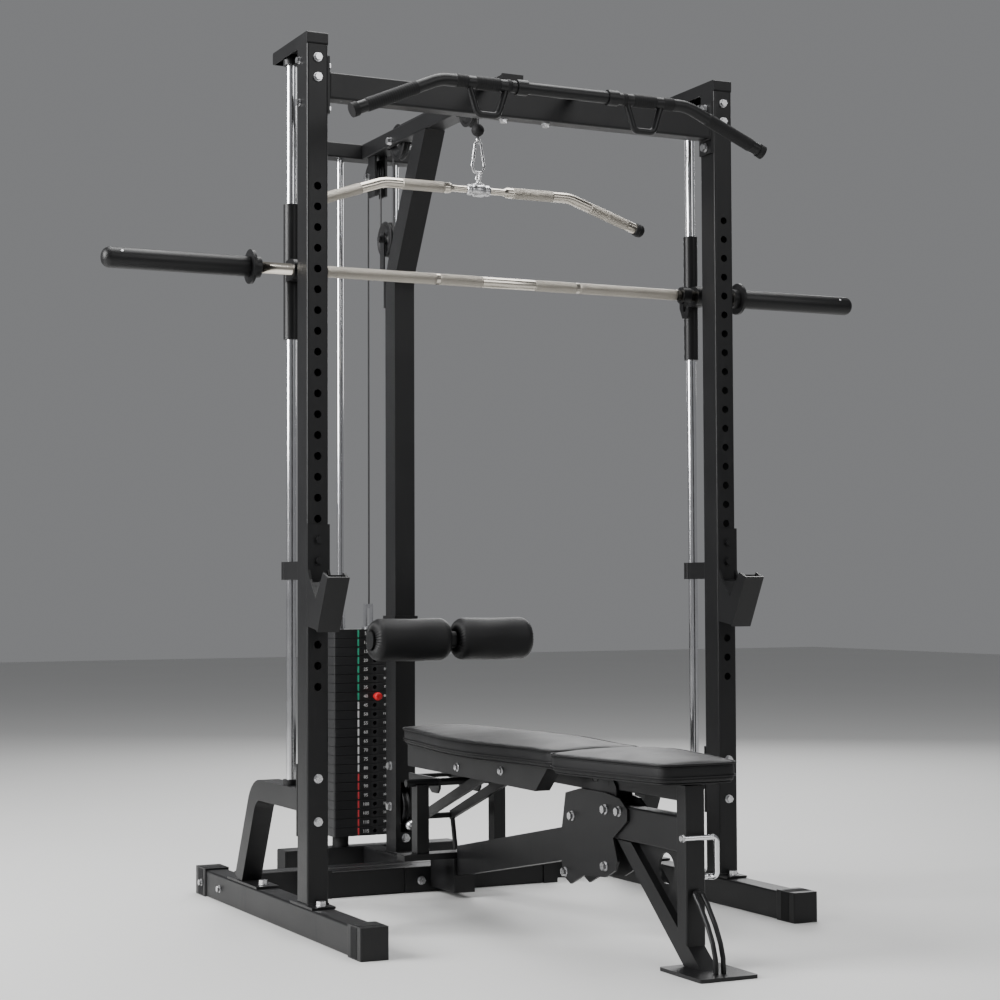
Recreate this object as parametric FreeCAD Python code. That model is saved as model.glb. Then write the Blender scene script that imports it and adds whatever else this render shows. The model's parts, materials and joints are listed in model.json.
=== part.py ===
import FreeCAD, Part
import math
import os

# Lat pulldown rack with a guided bar, a weight stack and its bench.
# Millimetres. X is the width, Y runs from the user's side to the stack, Z is up.
# The rack is laid out from the uprights' front faces (y = 0) and moved at export
# by ORIGIN_SHIFT, so the origin is on the floor at the centre of the footprint.

V = FreeCAD.Vector

# ---- driving dimensions -------------------------------------------------
HALF_SPAN = 572.0            # centre plane to each upright's centre
RACK_HEIGHT = 2165.0         # floor to the top of the cap arms
ORIGIN_SHIFT = -108.5        # rack y = 0 to part origin

TUBE_W = 54.0                # frame tube, across the rack
TUBE_D = 70.0                # frame tube, front to back
TUBE_WALL = 3.0
TUBE_RADIUS = 5.0
PLATE_T = 6.0
PAINT_GAP = 0.3              # film left between parts that only touch

BASE_W = 60.0
BASE_H = 70.0
BASE_FRONT = -330.0
BASE_REAR = 815.0
CAP_T = 4.0
CAP_LENGTH = 60.0

ARM_LENGTH = 243.0
ARM_H = 30.0

HOLE_R = 9.5
HOLE_PITCH = 50.0
HOLE_COUNT = 25
HOLE_TOP_Z = 1791.0

CROSS_BOTTOM = 2008.0
CROSS_H = 64.0
CROSS_D = 50.0
CROSS_SETBACK = 7.0

BRACE_SIZE = 52.0
BRACE_TOP_Z = 345.0
BRACE_FOOT_Y = 505.0
BRACE_KNEE_Y = 385.0
BRACE_RADIUS = 75.0

REAR_CROSS_Y = 640.0         # front face of the low rear crossmember
REAR_CROSS_D = 60.0
SPINE_W = 60.0
COLUMN_W = 60.0
COLUMN_D = 70.0
COLUMN_Y = 835.0             # centre line of the column's lower part
COLUMN_BEND_Z = 1720.0
COLUMN_TOP_Y = 600.0
COLUMN_TOP_Z = 2098.0
COLUMN_RADIUS = 160.0

BEAM_BOTTOM = 2098.0
BEAM_H = 45.0
BEAM_W = 60.0
BEAM_FRONT = 102.0
BEAM_REAR = 1045.0
SLOT_HALF_W = 15.0

STACK_Y = 1075.0             # centre plane of the weight stack
STACK_BOTTOM = 103.0
STACK_W = 256.0
STACK_D = 100.0
STACK_ROWS = 23
LIFTED_ROWS = 8
PLATE_PITCH = 26.2
PLATE_GAP = 1.0
GUIDE_X = 89.0
GUIDE_R = 10.0
GUIDE_CLEAR = 1.5
SELECTOR_R = 11.0
PIN_R = 5.0
FOOT_BAR_HALF = 270.0
CROSSBAR_HALF = 142.0

CABLE_R = 2.5
CABLE_PATH_R = 48.0          # pulley centre to cable centre line
PULLEY_R = 52.0
PULLEY_W = 20.0
AXLE_R = 6.0
AXLE_CLEAR = 0.05
LAT_Y = 307.0
LAT_Z = 1879.0
FRONT_PULLEY_Z = 2110.0
HANG_PULLEY_Z = 2040.0
FLOAT_PULLEY_Z = 1842.0
LOW_PULLEY_Y = 838.0
LOW_PULLEY_Z = 205.0

GRIP_R = 14.0                # lat bar grip
ROD_X = HALF_SPAN + 3.0      # guided bar's rods
ROD_Y = 175.0
ROD_R = 12.5
CARRIAGE_R = 19.0
CARRIAGE_H = 335.0
BAR_Y = 130.0
BAR_Z = 1606.0
BAR_R = 14.0
SLEEVE_R = 25.0
SLEEVE_START = 700.0
BAR_HALF = 1065.0

ROLLER_Y = 490.0
ROLLER_Z = 686.0
ROLLER_R = 58.0
ROLLER_INNER = 12.0
ROLLER_OUTER = 232.0
ROLLER_AXLE_R = 12.5

PULL_BAR_R = 15.0
PULL_BAR_Y = -200.0
PULL_BAR_Z = 2030.0

PAD_TOP = 455.0
PAD_T = 52.0
BACK_HINGE_Y = -320.0
BACK_HINGE_Z = 385.0

FRONT_PULLEY_Y = LAT_Y + CABLE_PATH_R
HANG_PULLEY_Y = STACK_Y - 5.0 - CABLE_PATH_R
FLOAT_PULLEY_Y = HANG_PULLEY_Y - 2 * CABLE_PATH_R
REAR_PULLEY_Y = FLOAT_PULLEY_Y - 2 * CABLE_PATH_R
STACK_CABLE_Y = HANG_PULLEY_Y + CABLE_PATH_R
PIN_ROW = STACK_ROWS - LIFTED_ROWS
STACK_TOP = STACK_BOTTOM + STACK_ROWS * PLATE_PITCH - PLATE_GAP
SIDES = (-1, 1)


# ---- helpers ------------------------------------------------------------
def box(x0, x1, y0, y1, z0, z1):
    """Box between two corners."""
    return Part.makeBox(x1 - x0, y1 - y0, z1 - z0, V(x0, y0, z0))


def mid_box(cx, cy, cz, sx, sy, sz):
    """Box given by its centre and sizes."""
    return box(cx - sx / 2, cx + sx / 2, cy - sy / 2, cy + sy / 2, cz - sz / 2, cz + sz / 2)


def rod(start, end, radius):
    """Round bar between two points."""
    along = end - start
    return Part.makeCylinder(radius, along.Length, start, along)


def ring(start, end, radius, bore):
    """Round tube between two points."""
    return rod(start, end, radius).cut(rod(start, end, bore))


def round_edges(shape, axis, radius):
    """Round the straight edges that run along one axis."""
    picked = []
    for edge in shape.Edges:
        along = edge.Vertexes[-1].Point - edge.Vertexes[0].Point
        if along.Length > 0 and abs(along.dot(axis)) > 0.999 * along.Length:
            picked.append(edge)
    return shape.makeFillet(radius, picked)


def tube(x0, x1, y0, y1, z0, z1, axis, wall=TUBE_WALL, radius=TUBE_RADIUS):
    """Square tube along an axis, open at its ends."""
    outer = round_edges(box(x0, x1, y0, y1, z0, z1), axis, radius)
    trim = [0.0 if component else wall for component in (axis.x, axis.y, axis.z)]
    inner = box(x0 + trim[0], x1 - trim[0], y0 + trim[1], y1 - trim[1], z0 + trim[2], z1 - trim[2])
    return outer.cut(inner)


def extrude_side(points, x0, x1):
    """Plate whose outline is drawn in (y, z) and is extruded across X."""
    corners = [V(x0, y, z) for y, z in points]
    face = Part.Face(Part.makePolygon(corners + corners[:1]))
    return face.extrude(V(x1 - x0, 0, 0))


def bent_path(points, radius):
    """Wire through points with a tangent arc at each inner one."""
    edges = []
    start = points[0]
    for before, corner, after in zip(points, points[1:], points[2:]):
        back = (before - corner).normalize()
        ahead = (after - corner).normalize()
        half_turn = (math.pi - back.getAngle(ahead)) / 2
        reach = radius * math.tan(half_turn)
        entry = corner + back * reach
        leave = corner + ahead * reach
        inward = (back + ahead).normalize()
        middle = corner + inward * (radius / math.cos(half_turn) - radius)
        edges.append(Part.LineSegment(start, entry).toShape())
        edges.append(Part.Arc(entry, middle, leave).toShape())
        start = leave
    edges.append(Part.LineSegment(start, points[-1]).toShape())
    return Part.Wire(edges)


def sweep_round(path, radius):
    """Round bar along a wire."""
    start = path.Edges[0]
    circle = Part.makeCircle(radius, start.valueAt(start.FirstParameter), start.tangentAt(start.FirstParameter))
    return path.makePipeShell([Part.Wire(circle)], True, True)


def sweep_square(path, across, through, across_axis=V(1, 0, 0)):
    """Rectangular bar along a wire in a plane square to across_axis."""
    first = path.Edges[0]
    origin = first.valueAt(first.FirstParameter)
    side = first.tangentAt(first.FirstParameter).cross(across_axis).normalize()
    half = across_axis * (across / 2)
    deep = side * (through / 2)
    corners = [origin + half + deep, origin - half + deep, origin - half - deep, origin + half - deep]
    outline = Part.makePolygon(corners + corners[:1])
    return path.makePipeShell([outline], True, False)


def bent_tube(points, radius, across, through, wall=TUBE_WALL):
    """Bent rectangular tube, open at its ends."""
    path = bent_path(points, radius)
    outer = sweep_square(path, across, through)
    inner = sweep_square(path, across - 2 * wall, through - 2 * wall)
    return outer.cut(inner)


def hexagon(centre, axis, across_flats, height):
    """Hexagonal bolt head standing on a face."""
    turn = FreeCAD.Rotation(V(0, 0, 1), axis)
    reach = across_flats / math.sqrt(3)
    corners = []
    for step in range(6):
        angle = math.radians(60 * step)
        local = V(reach * math.cos(angle), reach * math.sin(angle), 0)
        corners.append(centre + turn.multVec(local))
    face = Part.Face(Part.makePolygon(corners + corners[:1]))
    return face.extrude(turn.multVec(V(0, 0, height)))


def bolt_head(centre, axis, size=18.0):
    """Washer with a hexagonal head on it."""
    seat = centre + axis * PAINT_GAP
    washer = Part.makeCylinder(size * 0.68, 2.0, seat, axis)
    head = hexagon(seat + axis * 2.0, axis, size, size * 0.5)
    return washer.fuse(head)


def save(name, *solids):
    """Write one node, moved to the part's origin."""
    shape = solids[0] if len(solids) == 1 else Part.makeCompound(list(solids))
    moved = shape.copy()
    moved.translate(V(0, ORIGIN_SHIFT, 0))
    moved.exportStep("parts/%s.step" % name)


AXIS_X = V(1, 0, 0)
AXIS_Y = V(0, 1, 0)
AXIS_Z = V(0, 0, 1)


# ---- rack frame ---------------------------------------------------------
def base_rail(side):
    """Floor rail under one upright."""
    x = side * HALF_SPAN
    return tube(x - BASE_W / 2, x + BASE_W / 2, BASE_FRONT, BASE_REAR, 0, BASE_H, AXIS_Y)


def base_cap(side, y_end, outward):
    """Folded cap that closes one end of a rail and wraps its sides."""
    x = side * HALF_SPAN
    half = BASE_W / 2 + PAINT_GAP
    y_face = y_end + outward * PAINT_GAP
    y_out = y_face + outward * CAP_T * 5
    y_in = y_end - outward * CAP_LENGTH
    low, high = sorted((y_in, y_out))
    outer = box(x - half - CAP_T, x + half + CAP_T, low, high, 0, BASE_H + PAINT_GAP + CAP_T)
    low, high = sorted((y_in, y_face))
    pocket = box(x - half, x + half, low, high, 0, BASE_H + PAINT_GAP)
    return round_edges(outer, AXIS_Z, CAP_T).cut(pocket)


def base_caps():
    caps = []
    for side in SIDES:
        caps.append(base_cap(side, BASE_FRONT, -1))
        caps.append(base_cap(side, BASE_REAR, 1))
    return caps


UPRIGHT_BOTTOM = BASE_H + PLATE_T
UPRIGHT_TOP = RACK_HEIGHT - ARM_H


def upright(side):
    """Upright tube with its line of holes front to back."""
    x = side * HALF_SPAN
    body = tube(x - TUBE_W / 2, x + TUBE_W / 2, 0, TUBE_D, UPRIGHT_BOTTOM, UPRIGHT_TOP, AXIS_Z)
    drills = []
    for row in range(HOLE_COUNT):
        z = HOLE_TOP_Z - row * HOLE_PITCH
        drills.append(rod(V(x, -1, z), V(x, TUBE_D + 1, z), HOLE_R))
    return body.cut(drills)


def upright_feet():
    """Foot plate welded under each upright."""
    feet = []
    for side in SIDES:
        x = side * HALF_SPAN
        feet.append(box(x - BASE_W / 2, x + BASE_W / 2, -38, TUBE_D + 38, BASE_H, UPRIGHT_BOTTOM))
    return feet


def top_arm(side):
    """Cap arm that runs back from an upright's top to hold a guide rod."""
    x = side * HALF_SPAN
    arm = box(x - TUBE_W / 2, x + TUBE_W / 2, 0, ARM_LENGTH, UPRIGHT_TOP, RACK_HEIGHT)
    arm = round_edges(arm, AXIS_X, TUBE_RADIUS)
    hollow = box(x - TUBE_W / 2 + TUBE_WALL, x + TUBE_W / 2 - TUBE_WALL, TUBE_D + PLATE_T,
                 ARM_LENGTH - TUBE_WALL, UPRIGHT_TOP, RACK_HEIGHT - TUBE_WALL)
    seat = rod(V(side * ROD_X, ROD_Y, UPRIGHT_TOP), V(side * ROD_X, ROD_Y, UPRIGHT_TOP + 12), ROD_R + 6)
    return arm.cut(hollow).fuse(seat)


INNER_X = HALF_SPAN - TUBE_W / 2


def top_crossmember():
    reach = INNER_X - PLATE_T
    return tube(-reach, reach, CROSS_SETBACK, CROSS_SETBACK + CROSS_D, CROSS_BOTTOM, CROSS_BOTTOM + CROSS_H,
                AXIS_X)


def crossmember_flanges():
    """Plates that bolt the top crossmember to the uprights."""
    plates = []
    for side in SIDES:
        near, far = sorted((side * INNER_X, side * (INNER_X - PLATE_T)))
        plates.append(box(near, far, 4, TUBE_D - 4, CROSS_BOTTOM - 38, CROSS_BOTTOM + CROSS_H + 38))
    return plates


def brace(side):
    """Bent brace from the back of an upright down to its rail."""
    x = side * HALF_SPAN
    top = BRACE_TOP_Z - BRACE_SIZE / 2
    points = [V(x, TUBE_D + PLATE_T, top), V(x, BRACE_KNEE_Y, top), V(x, BRACE_FOOT_Y, BASE_H + PLATE_T)]
    body = bent_tube(points, BRACE_RADIUS, BRACE_SIZE, BRACE_SIZE)
    floor = box(x - 100, x + 100, 0, 900, -100, BASE_H + PLATE_T)
    return body.cut(floor)


def brace_plates():
    """Flange behind each upright and foot plate on each rail."""
    plates = []
    for side in SIDES:
        x = side * HALF_SPAN
        plates.append(box(x - TUBE_W / 2, x + TUBE_W / 2, TUBE_D, TUBE_D + PLATE_T, 232, 405))
        plates.append(box(x - BASE_W / 2, x + BASE_W / 2, 352, 580, BASE_H, BASE_H + PLATE_T))
    return plates


def rear_crossmember():
    reach = HALF_SPAN - BASE_W / 2
    return tube(-reach, reach, REAR_CROSS_Y, REAR_CROSS_Y + REAR_CROSS_D, 0, BASE_H, AXIS_X)


FOOT_BAR_Y = STACK_Y - 35.0


def spine():
    """Floor tube from the rear crossmember back to the stack's foot bar."""
    return tube(-SPINE_W / 2, SPINE_W / 2, REAR_CROSS_Y + REAR_CROSS_D, FOOT_BAR_Y, 0, BASE_H, AXIS_Y)


def stack_foot_bar():
    return tube(-FOOT_BAR_HALF, FOOT_BAR_HALF, FOOT_BAR_Y, FOOT_BAR_Y + 70, 0, BASE_H, AXIS_X)


def axle_hole(y, z):
    """Hole through the frame for one pulley's bolt."""
    return rod(V(-60, y, z), V(60, y, z), AXLE_R + PAINT_GAP)


def column():
    """Rear column: straight below, leaning forward to the top beam."""
    lean = V(0, COLUMN_TOP_Y, COLUMN_TOP_Z + 40)
    points = [V(0, COLUMN_Y, BASE_H + PLATE_T), V(0, COLUMN_Y, COLUMN_BEND_Z), lean]
    body = bent_tube(points, COLUMN_RADIUS, COLUMN_W, COLUMN_D)
    above = box(-100, 100, 300, 900, BEAM_BOTTOM, BEAM_BOTTOM + 200)
    window = box(-SLOT_HALF_W, SLOT_HALF_W, COLUMN_Y - 60, COLUMN_Y + 60, LOW_PULLEY_Z - 70, LOW_PULLEY_Z + 70)
    return body.cut(above).cut(window).cut(axle_hole(LOW_PULLEY_Y, LOW_PULLEY_Z))


def column_foot():
    return box(-45, 45, COLUMN_Y - 75, COLUMN_Y + 75, BASE_H, BASE_H + PLATE_T)


def top_beam():
    """Top beam with a slot for each pulley that stands in it."""
    body = tube(-BEAM_W / 2, BEAM_W / 2, BEAM_FRONT, BEAM_REAR, BEAM_BOTTOM, BEAM_BOTTOM + BEAM_H, AXIS_Y)
    slots = []
    for y in (FRONT_PULLEY_Y, REAR_PULLEY_Y):
        slots.append(box(-SLOT_HALF_W, SLOT_HALF_W, y - 62, y + 62, BEAM_BOTTOM - 10, BEAM_BOTTOM + BEAM_H + 10))
        slots.append(axle_hole(y, FRONT_PULLEY_Z))
    return body.cut(slots)


def beam_mount():
    """Bracket that stands on the crossmember and carries the beam's front."""
    top = CROSS_BOTTOM + CROSS_H
    plate = box(-85, 85, CROSS_SETBACK, 190, top, top + PLATE_T)
    web = box(-BEAM_W / 2, BEAM_W / 2, BEAM_FRONT - PLATE_T, BEAM_FRONT, top + PLATE_T, BEAM_BOTTOM + BEAM_H)
    cheek = box(-BEAM_W / 2, BEAM_W / 2, BEAM_FRONT, 180, top + PLATE_T, BEAM_BOTTOM)
    return [plate, web, cheek]


def top_crossbar():
    """Bar across the beam's rear end that holds the stack's guide rods."""
    return tube(-CROSSBAR_HALF, CROSSBAR_HALF, BEAM_REAR, BEAM_REAR + 60, BEAM_BOTTOM, BEAM_BOTTOM + BEAM_H,
                AXIS_X)


def tube_plugs():
    """Plugs in the open ends of the foot bar and the crossbar, each with a thin flange outside."""
    plugs = []
    ends = ((FOOT_BAR_HALF, FOOT_BAR_Y, 70.0, 0.0, BASE_H), (CROSSBAR_HALF, BEAM_REAR, 60.0, BEAM_BOTTOM, BEAM_H))
    inset = TUBE_WALL + PAINT_GAP
    for side in SIDES:
        for reach, y, depth, z, height in ends:
            near, far = sorted((side * (reach - 14), side * (reach + PAINT_GAP)))
            core = box(near, far, y + inset, y + depth - inset, z + inset, z + height - inset)
            near, far = sorted((side * (reach + PAINT_GAP), side * (reach + 3)))
            flange = round_edges(box(near, far, y + 1, y + depth - 1, z + 1, z + height - 1), AXIS_X, TUBE_RADIUS)
            plugs.append(core.fuse(flange).removeSplitter())
    return plugs


def stack_guide_rods():
    rods = []
    for side in SIDES:
        x = side * GUIDE_X
        rods.append(rod(V(x, STACK_Y, BASE_H), V(x, STACK_Y, BEAM_BOTTOM), GUIDE_R))
    return rods


def stack_bumpers():
    bumpers = []
    for side in SIDES:
        x = side * GUIDE_X
        bumpers.append(ring(V(x, STACK_Y, BASE_H), V(x, STACK_Y, STACK_BOTTOM), 24, GUIDE_R + PAINT_GAP))
    return bumpers


def guide_rods():
    """Chrome rods for the guided bar."""
    rods = []
    for side in SIDES:
        rods.append(rod(V(side * ROD_X, ROD_Y, BRACE_TOP_Z), V(side * ROD_X, ROD_Y, UPRIGHT_TOP), ROD_R))
    return rods


ROD_STOP_Z = 868.0


def rod_stops():
    """Clamp on each rod, tied to the back of its upright; it stops the carriage."""
    stops = []
    for side in SIDES:
        x = side * ROD_X
        clamp = rod(V(x, ROD_Y, ROD_STOP_Z - 22), V(x, ROD_Y, ROD_STOP_Z + 22), 24)
        strap = box(x - 22, x + 22, TUBE_D, ROD_Y, ROD_STOP_Z - 22, ROD_STOP_Z + 22)
        bore = rod(V(x, ROD_Y, ROD_STOP_Z - 30), V(x, ROD_Y, ROD_STOP_Z + 30), ROD_R + PAINT_GAP)
        hollow = box(x - 14, x + 14, TUBE_D + 6, ROD_Y - 26, ROD_STOP_Z - 30, ROD_STOP_Z + 30)
        stops.append(clamp.fuse(strap).cut([bore, hollow]))
    return stops


def rod_collars():
    """Collar at the bottom and the top of each rod."""
    collars = []
    for side in SIDES:
        for low in (BRACE_TOP_Z, UPRIGHT_TOP - 14):
            collars.append(ring(V(side * ROD_X, ROD_Y, low), V(side * ROD_X, ROD_Y, low + 14), 20,
                                ROD_R + PAINT_GAP))
    return collars


# ---- pull-up bar --------------------------------------------------------
PULL_ARM_X = 125.0


def pull_up_bar():
    ends = 552.0
    bends = 338.0
    drop = 92.0
    points = [V(-ends, PULL_BAR_Y, PULL_BAR_Z - drop), V(-bends, PULL_BAR_Y, PULL_BAR_Z),
              V(bends, PULL_BAR_Y, PULL_BAR_Z), V(ends, PULL_BAR_Y, PULL_BAR_Z - drop)]
    path = bent_path(points, 110.0)
    return sweep_round(path, PULL_BAR_R).cut(sweep_round(path, PULL_BAR_R - 2.5))


def pull_up_caps():
    """Domed plug over each end of the pull-up bar."""
    caps = []
    for side in SIDES:
        end = V(side * 552, PULL_BAR_Y, PULL_BAR_Z - 92)
        along = V(side * 214, 0, -92).normalize()
        cap = rod(end - along * 1.0, end + along * 14.0, PULL_BAR_R + 2.5)
        caps.append(cap.cut(rod(end - along * 2.0, end + along * PAINT_GAP, PULL_BAR_R + PAINT_GAP)))
    return caps


def pull_up_arms():
    """Two arms that carry the pull-up bar from the crossmember's top."""
    arms = []
    top = CROSS_BOTTOM + CROSS_H + PLATE_T
    for side in SIDES:
        x = side * PULL_ARM_X
        arm = rod(V(x, PULL_BAR_Y + 6, PULL_BAR_Z), V(x, 24, top + 12), 12)
        foot = box(x - 22, x + 22, CROSS_SETBACK, CROSS_SETBACK + CROSS_D, CROSS_BOTTOM + CROSS_H, top)
        collar = rod(V(x - 14, PULL_BAR_Y, PULL_BAR_Z), V(x + 14, PULL_BAR_Y, PULL_BAR_Z), PULL_BAR_R + 4)
        block = box(x - 14, x + 14, 14, 40, top, top + 16)
        bore = rod(V(x - 20, PULL_BAR_Y, PULL_BAR_Z), V(x + 20, PULL_BAR_Y, PULL_BAR_Z), PULL_BAR_R + PAINT_GAP)
        arms.append(arm.fuse([foot, collar, block]).cut(bore).removeSplitter())
    return arms


def neutral_grips():
    """Loop handle hanging under each half of the pull-up bar."""
    grips = []
    for side in SIDES:
        out = side * 262.0
        near = side * 168.0
        level = PULL_BAR_Z - PULL_BAR_R + 2.0
        points = [V(near, PULL_BAR_Y, level), V(near + side * 20, PULL_BAR_Y, level - 62),
                  V(out - side * 20, PULL_BAR_Y, level - 62), V(out, PULL_BAR_Y, level)]
        loop = sweep_round(bent_path(points, 16.0), 8.0)
        bar = rod(V(side * 100, PULL_BAR_Y, PULL_BAR_Z), V(side * 320, PULL_BAR_Y, PULL_BAR_Z),
                  PULL_BAR_R + PAINT_GAP)
        grips.append(loop.cut(bar))
    return grips


# ---- cable system -------------------------------------------------------
def pulley(y, z):
    """Grooved pulley that turns about X."""
    half = PULLEY_W / 2
    groove = CABLE_PATH_R - CABLE_R
    outline = [V(0, AXLE_R + AXLE_CLEAR, -half), V(0, PULLEY_R, -half), V(0, PULLEY_R, -half + 3),
               V(0, groove, -2.5), V(0, groove, 2.5), V(0, PULLEY_R, half - 3), V(0, PULLEY_R, half),
               V(0, AXLE_R + AXLE_CLEAR, half)]
    face = Part.Face(Part.makePolygon(outline + outline[:1]))
    wheel = face.revolve(V(0, 0, 0), AXIS_Z, 360)
    wheel.rotate(V(0, 0, 0), AXIS_Y, 90)
    wheel.translate(V(0, y, z))
    return wheel


def axle(y, z, half):
    return rod(V(-half, y, z), V(half, y, z), AXLE_R)


def fixed_axles():
    """Bolts that the frame's pulleys turn on, with their heads."""
    bolts = []
    places = ((FRONT_PULLEY_Y, FRONT_PULLEY_Z, BEAM_W / 2), (REAR_PULLEY_Y, FRONT_PULLEY_Z, BEAM_W / 2),
              (HANG_PULLEY_Y, HANG_PULLEY_Z, 20.0), (LOW_PULLEY_Y, LOW_PULLEY_Z, COLUMN_W / 2))
    for y, z, half in places:
        pin = axle(y, z, half + 3)
        heads = [bolt_head(V(side * half, y, z), V(side, 0, 0)) for side in SIDES]
        bolts.append(pin.fuse(heads))
    return bolts


def hanging_bracket():
    """Cheeks that hold the hanging pulley under the beam."""
    cheeks = []
    for side in SIDES:
        near, far = sorted((side * 14.0, side * 20.0))
        plate = box(near, far, HANG_PULLEY_Y - 50, HANG_PULLEY_Y, HANG_PULLEY_Z - 62, BEAM_BOTTOM)
        plate = plate.fuse(rod(V(near, HANG_PULLEY_Y, HANG_PULLEY_Z), V(far, HANG_PULLEY_Y, HANG_PULLEY_Z), 24))
        bore = rod(V(near - 1, HANG_PULLEY_Y, HANG_PULLEY_Z), V(far + 1, HANG_PULLEY_Y, HANG_PULLEY_Z),
                   AXLE_R + PAINT_GAP)
        cheeks.append(plate.cut(bore).removeSplitter())
    return cheeks


def floating_bracket():
    """Cheeks of the floating pulley with the strap that joins the low cable."""
    parts = []
    low_z = 1640.0
    for side in SIDES:
        near, far = sorted((side * 13.0, side * 17.0))
        parts.append(box(near, far, FLOAT_PULLEY_Y - 14, FLOAT_PULLEY_Y + 14, low_z + 90, FLOAT_PULLEY_Z + 18))
    parts.append(box(-17, 17, FLOAT_PULLEY_Y - 14, FLOAT_PULLEY_Y + 14, low_z + 86, low_z + 90))
    parts.append(box(-10, 10, FLOAT_PULLEY_Y - 4, FLOAT_PULLEY_Y + 4, low_z, low_z + 86))
    body = parts[0].fuse(parts[1:]).removeSplitter()
    pin = rod(V(-17, FLOAT_PULLEY_Y, FLOAT_PULLEY_Z), V(17, FLOAT_PULLEY_Y, FLOAT_PULLEY_Z), AXLE_R)
    body = body.fuse(pin)
    heads = [bolt_head(V(side * (17 - PAINT_GAP), FLOAT_PULLEY_Y, FLOAT_PULLEY_Z), V(side, 0, 0)) for side in SIDES]
    return body.fuse(heads)


def turn_point(centre_y, centre_z, degrees):
    """Point on a pulley's cable circle; 0 is towards +Y, 90 is up."""
    angle = math.radians(degrees)
    return V(0, centre_y + CABLE_PATH_R * math.cos(angle), centre_z + CABLE_PATH_R * math.sin(angle))


def wrap(centre_y, centre_z, start, end):
    """Cable arc around a pulley."""
    middle = (start + end) / 2
    arc = Part.Arc(turn_point(centre_y, centre_z, start), turn_point(centre_y, centre_z, middle),
                   turn_point(centre_y, centre_z, end))
    return arc.toShape()


def top_cable():
    """Arc over the front pulley, the run along the beam and the arc behind."""
    over_front = wrap(FRONT_PULLEY_Y, FRONT_PULLEY_Z, 180, 90)
    over_rear = wrap(REAR_PULLEY_Y, FRONT_PULLEY_Z, 90, 0)
    run = Part.LineSegment(turn_point(FRONT_PULLEY_Y, FRONT_PULLEY_Z, 90),
                           turn_point(REAR_PULLEY_Y, FRONT_PULLEY_Z, 90)).toShape()
    behind = turn_point(REAR_PULLEY_Y, FRONT_PULLEY_Z, 0)
    down = Part.LineSegment(behind, V(0, behind.y, HANG_PULLEY_Z)).toShape()
    return sweep_round(Part.Wire([over_front, run, over_rear, down]), CABLE_R)


def hanging_arc():
    return sweep_round(Part.Wire([wrap(HANG_PULLEY_Y, HANG_PULLEY_Z, 180, 0)]), CABLE_R)


LOW_EYE = V(0, FLOAT_PULLEY_Y, 1640.0)
LOW_TANGENT = 2.1            # degrees above level where the low cable meets its pulley
LOW_RUN_FRONT = COLUMN_Y - COLUMN_D / 2 - 22.0


def low_arc():
    """Arc under the low pulley and the short run out to the ring."""
    under = wrap(LOW_PULLEY_Y, LOW_PULLEY_Z, LOW_TANGENT, -90)
    front = V(0, LOW_RUN_FRONT, LOW_PULLEY_Z - CABLE_PATH_R)
    run = Part.LineSegment(turn_point(LOW_PULLEY_Y, LOW_PULLEY_Z, -90), front).toShape()
    return sweep_round(Part.Wire([under, run]), CABLE_R)


def low_ring():
    """Ball stop and ring on the low cable's end."""
    centre = V(0, LOW_RUN_FRONT - 15.0, LOW_PULLEY_Z - CABLE_PATH_R)
    ball = Part.makeSphere(15, centre)
    loop = Part.makeTorus(14, 3.5, centre - V(0, 30, 0), AXIS_X)
    return ball.fuse(loop)


def straight_cable(start, end):
    return rod(start, end, CABLE_R)


def cables_float():
    """Two strands that hold the floating pulley, up to the hanging pulley's level."""
    strands = []
    for y in (REAR_PULLEY_Y + CABLE_PATH_R, HANG_PULLEY_Y - CABLE_PATH_R):
        strands.append(straight_cable(V(0, y, FLOAT_PULLEY_Z), V(0, y, HANG_PULLEY_Z)))
    return strands


STOP_BALL_Z = 2040.0


def cable_stop():
    """Rubber ball that stops the lat cable under its pulley."""
    return Part.makeSphere(17, V(0, LAT_Y, STOP_BALL_Z))


def snap_link():
    """Carabiner from the cable's end to the bar's eye."""
    top = STOP_BALL_Z - 30.0
    low = LAT_Z + 36.0
    halves = []
    for side in SIDES:
        points = [V(0, LAT_Y, top), V(side * 13, LAT_Y, top - 8), V(side * 17, LAT_Y, low + 24),
                  V(side * 10, LAT_Y, low), V(0, LAT_Y, low)]
        halves.append(sweep_round(bent_path(points, 5.0), 4.0))
    shank = rod(V(0, LAT_Y, top), V(0, LAT_Y, STOP_BALL_Z - 17 - PAINT_GAP), 4.5)
    return halves[0].fuse([halves[1], shank])


def lat_bar():
    """Lat bar: straight in the middle, drooping at both ends, with its hub."""
    points = [V(-498, LAT_Y, LAT_Z - 76), V(-272, LAT_Y, LAT_Z), V(272, LAT_Y, LAT_Z), V(498, LAT_Y, LAT_Z - 76)]
    whole = sweep_round(bent_path(points, 90.0), GRIP_R)
    waist = box(-80, 80, LAT_Y - 40, LAT_Y + 40, LAT_Z - 40, LAT_Z + 40)
    core = rod(V(-82, LAT_Y, LAT_Z), V(82, LAT_Y, LAT_Z), 9)
    hub = rod(V(-30, LAT_Y, LAT_Z), V(30, LAT_Y, LAT_Z), 15)
    return whole.cut(waist).fuse([core, hub])


def lat_swivel():
    """Eye and swivel stem that stand on the lat bar's hub."""
    stem = rod(V(0, LAT_Y, LAT_Z + 15 + PAINT_GAP), V(0, LAT_Y, LAT_Z + 24), 10)
    eye = Part.makeTorus(10, 3.5, V(0, LAT_Y, LAT_Z + 34), AXIS_X)
    return stem.fuse(eye)


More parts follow.
